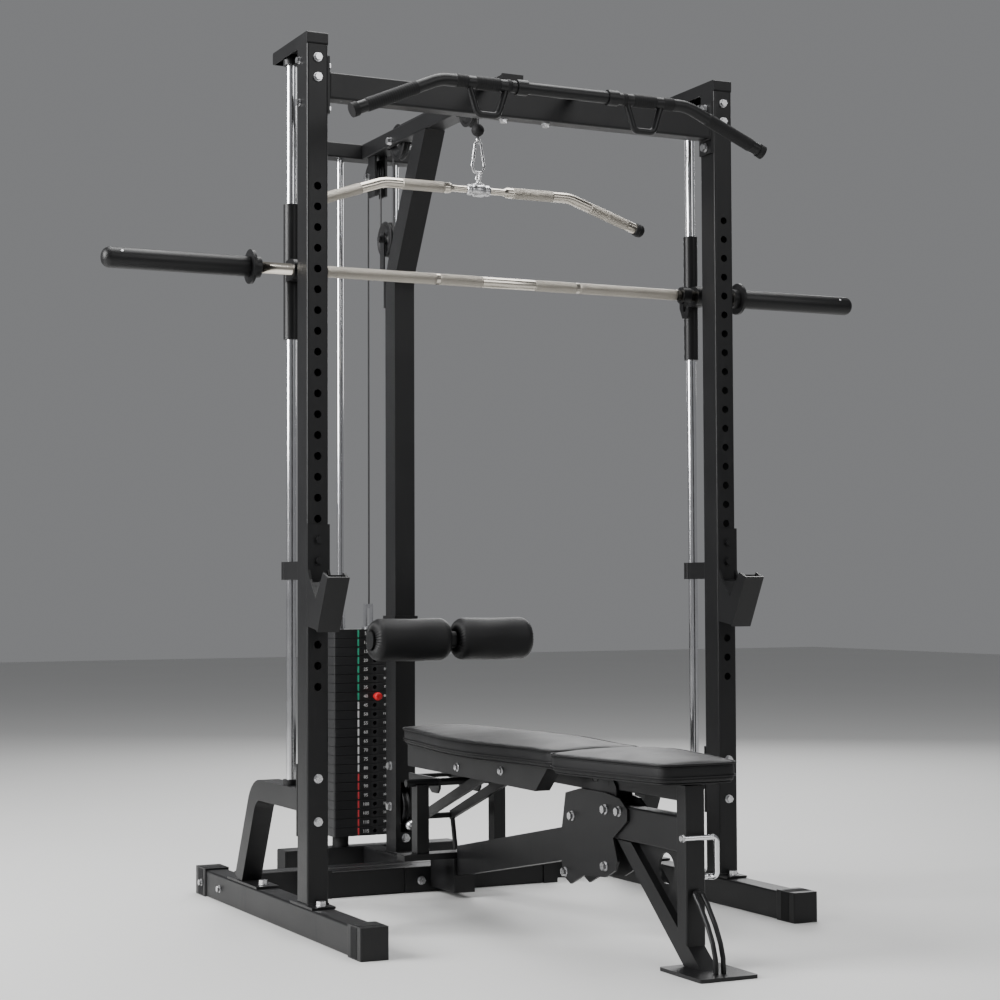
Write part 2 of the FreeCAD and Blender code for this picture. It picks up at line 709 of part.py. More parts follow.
def lat_bar_caps():
    caps = []
    along = V(226, 0, -76).normalize()
    for side in SIDES:
        end = V(side * 498, LAT_Y, LAT_Z - 76)
        step = V(side * along.x, 0, along.z)
        cap = rod(end - step * 22, end + step * 5, GRIP_R + 3)
        caps.append(cap.cut(rod(end - step * 23, end + step * PAINT_GAP, GRIP_R + PAINT_GAP)))
    return caps


# ---- weight stack -------------------------------------------------------
def plate_middle(row):
    """Height of a plate's middle; row 0 is the lowest."""
    return STACK_BOTTOM + row * PLATE_PITCH + (PLATE_PITCH - PLATE_GAP) / 2


PIN_Z = plate_middle(PIN_ROW)


def weight_plate(row):
    """One plate with its bores for the guide rods, the selector rod and the pin."""
    low = STACK_BOTTOM + row * PLATE_PITCH
    high = low + PLATE_PITCH - PLATE_GAP
    body = box(-STACK_W / 2, STACK_W / 2, STACK_Y - STACK_D / 2, STACK_Y + STACK_D / 2, low, high)
    body = round_edges(body, AXIS_Z, 6.0)
    cuts = [rod(V(0, STACK_Y, low - 1), V(0, STACK_Y, high + 1), SELECTOR_R + GUIDE_CLEAR)]
    for side in SIDES:
        x = side * GUIDE_X
        cuts.append(rod(V(x, STACK_Y, low - 1), V(x, STACK_Y, high + 1), GUIDE_R + GUIDE_CLEAR))
    middle = plate_middle(row)
    cuts.append(rod(V(0, STACK_Y - STACK_D, middle), V(0, STACK_Y, middle), PIN_R + 1.0))
    return body.cut(cuts)


def resting_plates():
    return [weight_plate(row) for row in range(PIN_ROW)]


def lifted_plates():
    return [weight_plate(row) for row in range(PIN_ROW, STACK_ROWS)]


def selector_rod():
    """Drilled rod through the stack with the cable fork on top."""
    body = rod(V(0, STACK_Y, STACK_BOTTOM + 2), V(0, STACK_Y, STACK_TOP), SELECTOR_R)
    bores = []
    for row in range(STACK_ROWS):
        z = plate_middle(row)
        bores.append(rod(V(0, STACK_Y - 20, z), V(0, STACK_Y + 20, z), PIN_R + 0.5))
    head = rod(V(0, STACK_Y, STACK_TOP), V(0, STACK_Y, STACK_TOP + 8), 20)
    fork = mid_box(0, STACK_Y, STACK_TOP + 41, 24, 18, 66)
    gap = mid_box(0, STACK_Y, STACK_TOP + 36, 14, 20, 52)
    return body.cut(bores).fuse([head, fork.cut(gap)])


def guide_bushings():
    """Bushing tube on the top plate around each guide rod."""
    bushings = []
    for side in SIDES:
        x = side * GUIDE_X
        bushings.append(ring(V(x, STACK_Y, STACK_TOP), V(x, STACK_Y, STACK_TOP + 54), 15, GUIDE_R + GUIDE_CLEAR))
    return bushings


def selector_pin():
    """Pin with a round knob."""
    front = STACK_Y - STACK_D / 2
    pin = rod(V(0, front - 8, PIN_Z), V(0, STACK_Y + 10, PIN_Z), PIN_R)
    knob = rod(V(0, front - 34, PIN_Z), V(0, front - 4, PIN_Z), 12)
    return round_rim(knob, 12, 3.0).fuse(pin)


# ---- knee rollers -------------------------------------------------------
def roller_arm():
    """Arm from the column to the rollers, with its clamp on the column."""
    front = COLUMN_Y - COLUMN_D / 2
    half = COLUMN_W / 2 + PAINT_GAP
    clamp = box(-half - 5, half + 5, front - 8, front + COLUMN_D + 8, ROLLER_Z - 60, ROLLER_Z + 60)
    pocket = box(-half, half, front - PAINT_GAP, front + COLUMN_D + PAINT_GAP, ROLLER_Z - 70, ROLLER_Z + 70)
    arm = box(-9, 9, ROLLER_Y - 22, front - 7, ROLLER_Z - 22, ROLLER_Z + 22)
    bore = rod(V(-30, ROLLER_Y, ROLLER_Z), V(30, ROLLER_Y, ROLLER_Z), ROLLER_AXLE_R + PAINT_GAP)
    return round_edges(arm, AXIS_X, 12.0).fuse(clamp.cut(pocket)).cut(bore)


def roller_axle():
    """Axle tube with a retaining flange at both ends."""
    reach = ROLLER_OUTER + 4
    body = rod(V(-reach, ROLLER_Y, ROLLER_Z), V(reach, ROLLER_Y, ROLLER_Z), ROLLER_AXLE_R)
    flanges = []
    for side in SIDES:
        flanges.append(rod(V(side * (ROLLER_OUTER + 1), ROLLER_Y, ROLLER_Z),
                           V(side * (ROLLER_OUTER + 5), ROLLER_Y, ROLLER_Z), 24))
    return body.fuse(flanges)


def foam_roller(side):
    near = V(side * ROLLER_INNER, ROLLER_Y, ROLLER_Z)
    far = V(side * ROLLER_OUTER, ROLLER_Y, ROLLER_Z)
    return round_rim(rod(near, far, ROLLER_R), ROLLER_R, 14.0).cut(rod(near, far, ROLLER_AXLE_R + 0.1))


def round_rim(shape, radius, fillet):
    """Round the outer rims of a round bar."""
    rims = [edge for edge in shape.Edges if hasattr(edge.Curve, "Radius") and edge.Curve.Radius > radius - 1]
    return shape.makeFillet(fillet, rims)


# ---- bar catches on the uprights ----------------------------------------
CATCH_HOLES = (HOLE_TOP_Z - 17 * HOLE_PITCH, HOLE_TOP_Z - 18 * HOLE_PITCH)
CATCH_PIN_LENGTH = 16.0


def catch(side):
    """Bar catch pinned in an upright's holes: channel, V trough, lip and two pins."""
    x = side * HALF_SPAN
    half = TUBE_W / 2 + 1.0
    back = box(x - half, x + half, -6.0, -PAINT_GAP, 735, 978)
    cheek = [(-6, 870), (-18, 846), (-58, 800), (-104, 862), (-128, 852), (-62, 727), (-6, 735)]
    cheeks = []
    for edge in (-half, half - 6.0):
        cheeks.append(extrude_side(cheek, x + edge, x + edge + 6.0))
    floor = [(-6, 846), (-18, 840), (-58, 794), (-104, 856), (-104, 848), (-60, 786), (-6, 838)]
    trough = extrude_side(floor, x - half, x + half)
    lip = [(-128, 852), (-134, 850), (-68, 722), (-62, 727)]
    front = extrude_side(lip, x - half, x + half)
    pins = [rod(V(x, -1, z), V(x, CATCH_PIN_LENGTH, z), HOLE_R - 0.5) for z in CATCH_HOLES]
    return back.fuse(cheeks + [trough, front] + pins).removeSplitter()


def catch_bolts(side):
    """Heads of the two pins that hold one catch."""
    x = side * HALF_SPAN
    return [bolt_head(V(x, -6, z), V(0, -1, 0), 16.0) for z in CATCH_HOLES]


# ---- guided bar ---------------------------------------------------------
def guided_shaft():
    reach = SLEEVE_START
    return rod(V(-reach, BAR_Y, BAR_Z), V(reach, BAR_Y, BAR_Z), BAR_R)


def bar_sleeves():
    """Plate sleeves with their end nuts."""
    sleeves = []
    for side in SIDES:
        start = V(side * SLEEVE_START, BAR_Y, BAR_Z)
        end = V(side * BAR_HALF, BAR_Y, BAR_Z)
        sleeves.append(round_end(rod(start, end, SLEEVE_R), end, 8.0))
    return sleeves


def round_end(shape, end, fillet):
    """Round the rim nearest a point."""
    rims = [edge for edge in shape.Edges if hasattr(edge.Curve, "Radius")
            and (edge.Curve.Center - end).Length < 1.0]
    return shape.makeFillet(fillet, rims)


def bar_flanges():
    """Inner flange that stops the plates, clamped on the shaft."""
    flanges = []
    for side in SIDES:
        start = V(side * (SLEEVE_START - 26), BAR_Y, BAR_Z)
        mid = V(side * (SLEEVE_START - 8), BAR_Y, BAR_Z)
        end = V(side * (SLEEVE_START - PAINT_GAP), BAR_Y, BAR_Z)
        body = rod(start, end, 26).fuse(rod(mid, end, 42))
        flanges.append(body.cut(rod(start, end, BAR_R + PAINT_GAP)))
    return flanges


def carriage(side):
    """Sliding tube on a rod with the bearing that holds the bar."""
    x = side * ROD_X
    low = BAR_Z - CARRIAGE_H / 2
    tube_part = rod(V(x, ROD_Y, low), V(x, ROD_Y, low + CARRIAGE_H), CARRIAGE_R)
    lug = box(x - 17, x + 17, BAR_Y - 6, ROD_Y, BAR_Z - 26, BAR_Z + 26)
    eye = rod(V(x - 17, BAR_Y, BAR_Z), V(x + 17, BAR_Y, BAR_Z), 26)
    slide_bore = rod(V(x, ROD_Y, low - 1), V(x, ROD_Y, low + CARRIAGE_H + 1), ROD_R + 0.5)
    bar_bore = rod(V(x - 20, BAR_Y, BAR_Z), V(x + 20, BAR_Y, BAR_Z), BAR_R + 0.05)
    return tube_part.fuse([lug, eye]).cut([slide_bore, bar_bore])


def bar_hooks():
    """Hook clamped on the bar inside each upright."""
    hooks = []
    outline = [(0, 24), (16, 14), (16, -34), (2, -62), (-22, -62), (-30, -48), (-30, -34), (-18, -34), (-12, -46),
               (-4, -44), (-2, -30), (-16, -14), (-16, 14)]
    for side in SIDES:
        near, far = sorted((side * 522.0, side * 534.0))
        plate = extrude_side([(BAR_Y + y, BAR_Z + z) for y, z in outline], near, far)
        clamp = rod(V(near - 6, BAR_Y, BAR_Z), V(far + 6, BAR_Y, BAR_Z), 22)
        hooks.append(plate.fuse(clamp).cut(rod(V(near - 9, BAR_Y, BAR_Z), V(far + 9, BAR_Y, BAR_Z),
                                               BAR_R + PAINT_GAP)))
    return hooks


# ---- bench --------------------------------------------------------------
BENCH_HALF = 22.0
FOOT_FRONT = 565.0            # front face of the bench's rear foot
FOOT_REAR = 635.0
FOOT_HALF = 355.0
BLOCK_FRONT = 406.0           # front of the block between spine and rear foot
STAND_Y = 440.0               # posts under the backrest
SPINE_REAR = V(0, 420.0, 98.3)
SPINE_FRONT = V(0, -300.0, 230.0)
POST_FRONT = -774.0
POST_REAR = -733.0
POST_HALF = 24.5


def bench_rear_foot():
    return tube(-FOOT_HALF, FOOT_HALF, FOOT_FRONT, FOOT_REAR, 0, BASE_H, AXIS_X)


def bench_foot_caps():
    """Folded caps on the rear foot's ends."""
    caps = []
    for side in SIDES:
        inner, outer = sorted((side * (FOOT_HALF - 38), side * (FOOT_HALF + 5)))
        shell = box(inner, outer, FOOT_FRONT - 4, FOOT_REAR + 4, 0, BASE_H + 4)
        near, far = sorted((side * (FOOT_HALF - 39), side * (FOOT_HALF + PAINT_GAP)))
        pocket = box(near, far, FOOT_FRONT - PAINT_GAP, FOOT_REAR + PAINT_GAP, 0, BASE_H + PAINT_GAP)
        caps.append(shell.cut(pocket))
    return caps


def bench_bracket():
    """Block from the spine to its bolted end plate on the rear foot, with the shelf for the posts."""
    shelf = box(-170, 170, STAND_Y - 26, STAND_Y + 26, 106, 122)
    block = box(-30, 30, BLOCK_FRONT, FOOT_FRONT - 5, 15, 106)
    rest = box(-56, 56, FOOT_FRONT - 30, FOOT_FRONT - 5, 94, 106)
    end_plate = box(-105, 105, FOOT_FRONT - 5, FOOT_FRONT, 2, BASE_H - 1)
    return block.fuse([shelf, rest, end_plate]).removeSplitter()


def bench_spine():
    """Inclined beam from the rear foot's block to the side plates."""
    path = Part.Wire([Part.LineSegment(SPINE_REAR, SPINE_FRONT).toShape()])
    outer = sweep_square(path, 2 * BENCH_HALF, 78)
    beam = outer.cut(sweep_square(path, 2 * BENCH_HALF - 2 * TUBE_WALL, 78 - 2 * TUBE_WALL))
    return beam.cut(box(-40, 40, BLOCK_FRONT - PAINT_GAP, BLOCK_FRONT + 200, 0, 400))


def bench_side_plates():
    """Shaped plate on each side where the beams and the backrest meet."""
    outline = [(-206, 250), (-226, 336), (-300, 352), (-425, 352), (-490, 344), (-524, 322), (-524, 296),
               (-458, 252), (-479, 200), (-466, 178), (-420, 158), (-316, 150), (-250, 122), (-222, 134), (-205, 166)]
    plates = []
    for side in SIDES:
        near, far = sorted((side * (BENCH_HALF + PAINT_GAP), side * (BENCH_HALF + PAINT_GAP + PLATE_T)))
        plates.append(extrude_side(outline, near, far))
    return plates


def bench_front_beam():
    return tube(-BENCH_HALF, BENCH_HALF, POST_REAR + PAINT_GAP, -340, 250, 328, AXIS_Y)


def bench_leg():
    """Front leg: post that stands on a slanted strut, drilled gusset between them, foot plate."""
    post = tube(-POST_HALF, POST_HALF, POST_FRONT, POST_REAR, 20, 388, AXIS_Z)
    cap = box(-POST_HALF - 1, POST_HALF + 1, POST_FRONT - 1, POST_REAR + 1, 388, 396)
    slant = [(-465, 249), (-528, 249), (-829, 8), (-756, 8)]
    below = extrude_side([(-465, 249), (-528, 249), (-829, 8), (-829, -50), (-465, -50)], -60, 60)
    strut = extrude_side(slant, -21, 21)
    web = extrude_side([(-520, 249), (POST_REAR, 249), (POST_REAR, 84), (-728, 80)], -3, 3)
    hole = rod(V(-10, -655, 205), V(10, -655, 205), 34)
    plate = round_edges(box(-71, 71, -908, -735, 0, 8), AXIS_Z, 6.0)
    return post.fuse(cap).cut(below).fuse([strut, web.cut(hole), plate]).removeSplitter()


def bench_guard():
    """Round bar that bows out from the post down to the foot plate and back up beside itself."""
    bow = [(-868, 4), (-866, 40), (-856, 70), (-836, 105), (-806, 143), (POST_FRONT - 7, 168)]
    down = [V(-9.5, y, z) for y, z in bow]
    up = [V(9.5, y, z) for y, z in reversed(bow)]
    bar = sweep_round(bent_path(down + up, 8.0), 5.5)
    return bar.cut(box(-60, 60, -950, -700, -20, 8 + PAINT_GAP))


def bench_handle():
    """Carrying handle across the front of the post and back to its right side."""
    y = POST_FRONT - 7.5
    path = bent_path([V(-34, y, 285), V(48, y, 285), V(48, y, 198), V(36, y + 16, 198),
                      V(POST_HALF + PAINT_GAP, y + 16, 198)], 11.0)
    return sweep_round(path, 6.0)


STAND_X = 113.0
LADDER_X = 60.0
PROP_X = 43.0


def bench_rear_posts():
    """Two posts on the shelf, the round bar across their tops and two hooked rails behind it."""
    pieces = [rod(V(-155, STAND_Y, 308), V(155, STAND_Y, 308), 10)]
    hooks = [(430, 318), (632, 318), (632, 300), (575, 300), (560, 279), (535, 279), (530, 298), (510, 298),
             (478, 277), (442, 277), (430, 290)]
    for side in SIDES:
        x = side * STAND_X
        pieces.append(box(x - 17, x + 17, STAND_Y - 18, STAND_Y + 18, 122, 303))
        pieces.append(extrude_side(hooks, side * LADDER_X - 3, side * LADDER_X + 3))
    pieces.append(rod(V(-LADDER_X, 620, 309), V(LADDER_X, 620, 309), 6))
    return pieces[0].fuse(pieces[1:]).removeSplitter()


def bench_prop():
    """Two arms that rise from the rest up under the backrest, with their cross rod and legs."""
    pieces = [rod(V(-PROP_X - 6, 577, 203), V(PROP_X + 6, 577, 203), 8)]
    for side in SIDES:
        x = side * PROP_X
        pieces.append(extrude_side([(582, 190), (582, 214), (158, 370), (140, 366), (140, 346)], x - 6, x + 6))
        pieces.append(rod(V(x, 577, 203), V(x, 550, 90), 6.5))
    return pieces[0].fuse(pieces[1:]).cut(box(-80, 80, 500, 600, 60, 106 + PAINT_GAP)).removeSplitter()


BACK_BAR = (50.0, 90.0)       # inner and outer face of the bars under the backrest
BACK_WALL = 3.0


def bench_back_frame():
    """Two bars under the backrest, slanted at their front ends, with the cross plate and hinge lugs."""
    outline = [(575, 400), (575, 342), (-187, 338), (-256, 400)]
    hollow = [(575 - BACK_WALL, 400 - BACK_WALL), (575 - BACK_WALL, 342 + BACK_WALL),
              (-187 + BACK_WALL / 2, 338 + BACK_WALL), (-256 + 3 * BACK_WALL, 400 - BACK_WALL)]
    pieces = [box(-BACK_BAR[0], BACK_BAR[0], -290, -215, 390, 400)]
    for side in SIDES:
        near, far = sorted((side * BACK_BAR[0], side * BACK_BAR[1]))
        bar = extrude_side(outline, near, far)
        pieces.append(bar.cut(extrude_side(hollow, near + BACK_WALL, far - BACK_WALL)))
        near, far = sorted((side * 12.0, side * 18.0))
        pieces.append(box(near, far, BACK_HINGE_Y, -270, 374, 396))
        pieces.append(rod(V(near, BACK_HINGE_Y, BACK_HINGE_Z), V(far, BACK_HINGE_Y, BACK_HINGE_Z), 11))
    pieces.append(box(-BACK_BAR[0], BACK_BAR[0], 400, 440, 390, 400))
    bore = rod(V(-40, BACK_HINGE_Y, BACK_HINGE_Z), V(40, BACK_HINGE_Y, BACK_HINGE_Z), 6 + AXLE_CLEAR)
    return pieces[0].fuse(pieces[1:]).cut(bore).removeSplitter()


def bench_hinge():
    """Ears above the side plates that hold the backrest's and seat's pins."""
    parts = []
    for side in SIDES:
        near, far = sorted((side * (BENCH_HALF - PAINT_GAP), side * (BENCH_HALF - PAINT_GAP - 3.0)))
        outline = [(-290, 332), (-304, 395), (-334, 395), (-352, 372), (-372, 372), (-404, 390), (-440, 390),
                   (-462, 368), (-462, 332)]
        parts.append(extrude_side(outline, near, far))
    pins = [rod(V(-BENCH_HALF, y, z), V(BENCH_HALF, y, z), 6) for y, z in HINGE_PINS]
    floor = box(-BENCH_HALF + 1, BENCH_HALF - 1, -462, -290, 329, 333)
    return parts[0].fuse([parts[1], floor] + pins).removeSplitter()


SEAT_HINGE_Y = -424.0
SEAT_HINGE_Z = 374.0
HINGE_PINS = ((BACK_HINGE_Y, BACK_HINGE_Z), (SEAT_HINGE_Y, SEAT_HINGE_Z))


def bench_seat_frame():
    """Tube under the seat with its hinge lugs."""
    body = tube(-18, 18, -724, -470, 360, 400, AXIS_Y)
    lugs = []
    for side in SIDES:
        near, far = sorted((side * 10.0, side * 16.0))
        plate = box(near, far, -474, SEAT_HINGE_Y, 362, 386)
        lugs.append(plate.fuse(rod(V(near, SEAT_HINGE_Y, SEAT_HINGE_Z), V(far, SEAT_HINGE_Y, SEAT_HINGE_Z), 12)))
    bore = rod(V(-40, SEAT_HINGE_Y, SEAT_HINGE_Z), V(40, SEAT_HINGE_Y, SEAT_HINGE_Z), 6 + AXLE_CLEAR)
    return body.fuse(lugs).cut(bore).removeSplitter()


def pad(half_outline):
    """Upholstered pad from the outline of its right half."""
    right = [V(x, y, PAD_TOP - PAD_T) for x, y in half_outline]
    left = [V(-x, y, PAD_TOP - PAD_T) for x, y in reversed(half_outline)]
    face = Part.Face(Part.makePolygon(right + left + right[:1]))
    body = face.extrude(V(0, 0, PAD_T))
    body = round_edges(body, AXIS_Z, 18.0)
    top = [edge for edge in body.Edges if edge.BoundBox.ZMin > PAD_TOP - 1]
    return body.makeFillet(12.0, top)


def back_pad():
    return pad([(108, 600), (128, 420), (162, 200), (164, 20), (138, -150), (122, -250), (130, -344)])


def seat_pad():
    return pad([(164, -386), (160, -470), (132, -620), (110, -730), (96, -803)])


# ---- bolts --------------------------------------------------------------
def rack_bolts():
    """Hexagonal heads on the frame."""
    heads = []
    front = V(0, -1, 0)
    top = CROSS_BOTTOM + CROSS_H + PLATE_T
    for side in SIDES:
        x = side * HALF_SPAN
        for z in (2055.0, 2103.0, 272.0, 374.0):
            heads.append(bolt_head(V(x, 0, z), front, 16.0))
        for z in (CROSS_BOTTOM - 20, CROSS_BOTTOM + CROSS_H + 20):
            heads.append(bolt_head(V(side * (INNER_X - PLATE_T), TUBE_D / 2, z), V(-side, 0, 0)))
        for y, z in ((-20.0, UPRIGHT_BOTTOM), (TUBE_D + 20.0, UPRIGHT_BOTTOM), (BRACE_KNEE_Y, BASE_H + PLATE_T)):
            heads.append(bolt_head(V(x, y, z), AXIS_Z, 20.0))
        heads.append(bolt_head(V(side * 60.0, 31.0, top), AXIS_Z, 16.0))
        heads.append(bolt_head(V(side * 60.0, 31.0, CROSS_BOTTOM), V(0, 0, -1), 16.0))
        heads.append(bolt_head(V(side * (COLUMN_W / 2), COLUMN_Y, 320.0), V(side, 0, 0)))
        outer = side * (HALF_SPAN + BASE_W / 2 + PAINT_GAP + CAP_T)
        heads.append(bolt_head(V(outer, BASE_REAR - 34.0, BASE_H / 2), V(side, 0, 0), 14.0))
        heads.append(bolt_head(V(side * (HALF_SPAN + BASE_W / 2), 640.0, BASE_H / 2), V(side, 0, 0), 14.0))
        for z in (2000.0, 2103.0):
            heads.append(bolt_head(V(side * (HALF_SPAN + TUBE_W / 2), 50.0, z), V(side, 0, 0), 14.0))
    heads.append(bolt_head(V(0, COLUMN_Y - COLUMN_D / 2, 118.0), front))
    return heads


def bench_bolts():
    """Hexagonal heads on the bench."""
    heads = []
    places = ((-262, 284), (-424, 314), (-488, 315), (-226, 148), (-423, 184))
    for side in SIDES:
        face = side * (BENCH_HALF + PAINT_GAP + PLATE_T)
        for y, z in places:
            heads.append(bolt_head(V(face, y, z), V(side, 0, 0), 17.0))
        heads.append(bolt_head(V(side * 58.0, FOOT_FRONT - 5, 32.0), V(0, -1, 0), 17.0))
    heads.append(bolt_head(V(-34.0, POST_FRONT - 7.5, 285.0), V(-1, 0, 0), 12.0))
    return heads


# ---- build --------------------------------------------------------------
os.makedirs("parts", exist_ok=True)

save("base_rails", *[base_rail(side) for side in SIDES])
save("base_caps", *base_caps())
save("uprights", *[upright(side) for side in SIDES])
save("weld_plates", *beam_mount(), column_foot(), *upright_feet(), *crossmember_flanges(), *brace_plates())
save("top_arms", *[top_arm(side) for side in SIDES])
save("top_crossmember", top_crossmember())
save("braces", *[brace(side) for side in SIDES])
save("rear_crossmember", rear_crossmember())
save("stack_foot", spine(), stack_foot_bar())
save("column", column())
save("top_beam", top_beam(), top_crossbar())
save("stack_guide_rods", *stack_guide_rods())
save("bumpers_and_plugs", *stack_bumpers(), *pull_up_caps(), *tube_plugs())
save("bar_guide_rods", *guide_rods())
save("rod_fittings", *rod_stops(), *rod_collars())
save("pull_up_bar", pull_up_bar())
save("pull_up_arms", *pull_up_arms(), *neutral_grips())
save("hanging_bracket", *hanging_bracket())
save("rack_bolts", *rack_bolts(), *fixed_axles())

save("pulley_front", pulley(FRONT_PULLEY_Y, FRONT_PULLEY_Z))
save("pulley_rear", pulley(REAR_PULLEY_Y, FRONT_PULLEY_Z))
save("pulley_hanging", pulley(HANG_PULLEY_Y, HANG_PULLEY_Z))
save("pulley_low", pulley(LOW_PULLEY_Y, LOW_PULLEY_Z))
save("pulley_floating", pulley(FLOAT_PULLEY_Y, FLOAT_PULLEY_Z))
save("floating_bracket", floating_bracket())
save("cable_fixed", top_cable(), hanging_arc(), low_arc())
save("cable_strands", *cables_float())
save("cable_loop", sweep_round(Part.Wire([wrap(FLOAT_PULLEY_Y, FLOAT_PULLEY_Z, 360, 180)]), CABLE_R))
save("cable_front_drop", straight_cable(V(0, LAT_Y, STOP_BALL_Z + 17), V(0, LAT_Y, FRONT_PULLEY_Z)))
save("cable_stack_drop", straight_cable(V(0, STACK_CABLE_Y, STACK_TOP + 74), V(0, STACK_CABLE_Y, HANG_PULLEY_Z)))
save("cable_low_drop", straight_cable(turn_point(LOW_PULLEY_Y, LOW_PULLEY_Z, LOW_TANGENT) + V(0, 0, 0.5), LOW_EYE))
save("low_ring", low_ring())
save("cable_stop", cable_stop())
save("snap_link", snap_link(), lat_swivel())
save("lat_bar", lat_bar())
save("lat_bar_caps", *lat_bar_caps())

save("plates_resting", *resting_plates())
save("plates_lifted", *lifted_plates())
save("selector_rod", selector_rod(), *guide_bushings())
save("selector_pin", selector_pin())

save("roller_frame", roller_arm(), roller_axle())
save("roller_left", foam_roller(-1))
save("roller_right", foam_roller(1))
save("catch_left", catch(-1), *catch_bolts(-1))
save("catch_right", catch(1), *catch_bolts(1))

save("guided_shaft", guided_shaft())
save("bar_sleeves", *bar_sleeves())
save("bar_fittings", *bar_flanges(), *bar_hooks())
save("carriages", *[carriage(side) for side in SIDES])

save("bench_rear_foot", bench_rear_foot(), *bench_foot_caps())
save("bench_beams", bench_spine(), bench_front_beam())
save("bench_side_plates", bench_hinge(), *bench_side_plates())
save("bench_front_leg", bench_leg(), bench_guard())
save("bench_handles", bench_handle())
save("bench_back_support", bench_bracket(), bench_rear_posts(), bench_prop())
save("bench_bolts", *bench_bolts())
save("back_frame", bench_back_frame())
save("back_pad", back_pad())
save("seat_frame", bench_seat_frame())
save("seat_pad", seat_pad())
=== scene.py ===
import json
import math

import bmesh
import bpy
import numpy as np
from bpy.props import FloatProperty, FloatVectorProperty, IntProperty, PointerProperty
from mathutils import Matrix, Vector


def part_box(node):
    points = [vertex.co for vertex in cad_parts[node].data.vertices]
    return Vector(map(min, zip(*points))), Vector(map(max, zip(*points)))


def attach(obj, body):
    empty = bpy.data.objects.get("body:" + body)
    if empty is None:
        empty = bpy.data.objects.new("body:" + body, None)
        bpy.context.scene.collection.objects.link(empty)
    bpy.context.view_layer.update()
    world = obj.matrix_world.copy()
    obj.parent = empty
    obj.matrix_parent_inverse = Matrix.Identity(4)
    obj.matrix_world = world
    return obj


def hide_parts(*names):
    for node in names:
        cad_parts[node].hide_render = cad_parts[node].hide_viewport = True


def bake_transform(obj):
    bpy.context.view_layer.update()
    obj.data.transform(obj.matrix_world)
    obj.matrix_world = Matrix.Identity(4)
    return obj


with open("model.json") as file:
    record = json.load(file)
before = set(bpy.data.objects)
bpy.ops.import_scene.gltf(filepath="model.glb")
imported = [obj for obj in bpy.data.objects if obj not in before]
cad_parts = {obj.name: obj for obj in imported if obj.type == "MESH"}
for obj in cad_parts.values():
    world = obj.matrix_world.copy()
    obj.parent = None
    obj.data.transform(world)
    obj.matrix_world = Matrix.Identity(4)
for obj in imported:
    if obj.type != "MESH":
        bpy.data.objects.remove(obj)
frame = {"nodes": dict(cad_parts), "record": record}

bl_info = {
    "name": "Pulldown Rack Looks",
    "version": (1, 0, 0),
    "blender": (4, 5, 0),
    "location": "3D View > Sidebar > Pulldown Rack",
    "description": "Dresses the pulldown rack's frame with its soft parts, cables, grips and finishes",
    "category": "Object",
}

SIDES = (-1, 1)
TAU = 2 * math.pi
MM = 0.001
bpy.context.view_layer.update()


# ---- mesh helpers -------------------------------------------------------
def make_object(name, vertices, faces, smooth=True):
    """Object at the origin from an array of vertices and an array of faces."""
    mesh = bpy.data.meshes.new(name)
    mesh.from_pydata(np.asarray(vertices, float).reshape(-1, 3), [], np.asarray(faces).tolist())
    mesh.polygons.foreach_set("use_smooth", np.full(len(mesh.polygons), smooth))
    piece = bpy.data.objects.new(name, mesh)
    bpy.context.scene.collection.objects.link(piece)
    return piece


def grid_faces(rows, columns, wrap_rows, wrap_columns):
    """Quads between neighbouring points of a grid, and the unwrapped corner of each loop."""
    row = np.arange(rows if wrap_rows else rows - 1)
    column = np.arange(columns if wrap_columns else columns - 1)
    r, c = (a.ravel() for a in np.meshgrid(row, column, indexing="ij"))
    corner_rows = np.stack([r, r + 1, r + 1, r], axis=1)
    corner_columns = np.stack([c, c, c + 1, c + 1], axis=1)
    faces = (corner_rows % rows) * columns + corner_columns % columns
    return faces, corner_rows, corner_columns


def face_out(piece):
    """Merge doubled points and turn every face outwards."""
    work = bmesh.new()
    work.from_mesh(piece.data)
    bmesh.ops.remove_doubles(work, verts=work.verts, dist=1e-6)
    bmesh.ops.recalc_face_normals(work, faces=work.faces)
    work.to_mesh(piece.data)
    work.free()
    return piece


def grid_object(name, points, wrap_rows=False, wrap_columns=False, metres=None, smooth=True):
    """Surface through a grid of points; metres gives its size in u and v for a UV map in metres."""
    rows, columns = points.shape[:2]
    faces, corner_rows, corner_columns = grid_faces(rows, columns, wrap_rows, wrap_columns)
    piece = make_object(name, points, faces, smooth)
    if metres is not None:
        u = corner_rows / (rows if wrap_rows else rows - 1) * metres[0]
        v = corner_columns / (columns if wrap_columns else columns - 1) * metres[1]
        layer = piece.data.uv_layers.new(name="Metres")
        layer.data.foreach_set("uv", np.stack([u, v], axis=-1).ravel())
    return face_out(piece)


def ring_basis(path, side):
    """Two unit directions square to each step of a path: one near `side`, one square to both."""
    step = np.gradient(path, axis=0)
    along = step / np.linalg.norm(step, axis=1, keepdims=True)
    across = np.asarray(side, float) - along * (along @ np.asarray(side, float))[:, None]
    across /= np.linalg.norm(across, axis=1, keepdims=True)
    return across, np.cross(along, across)


def ring_about(across, over, sides):
    """Unit circle at each step of a path, in the plane of its two directions."""
    angle = np.arange(sides) / sides * TAU
    return across[:, None] * np.cos(angle)[None, :, None] + over[:, None] * np.sin(angle)[None, :, None]


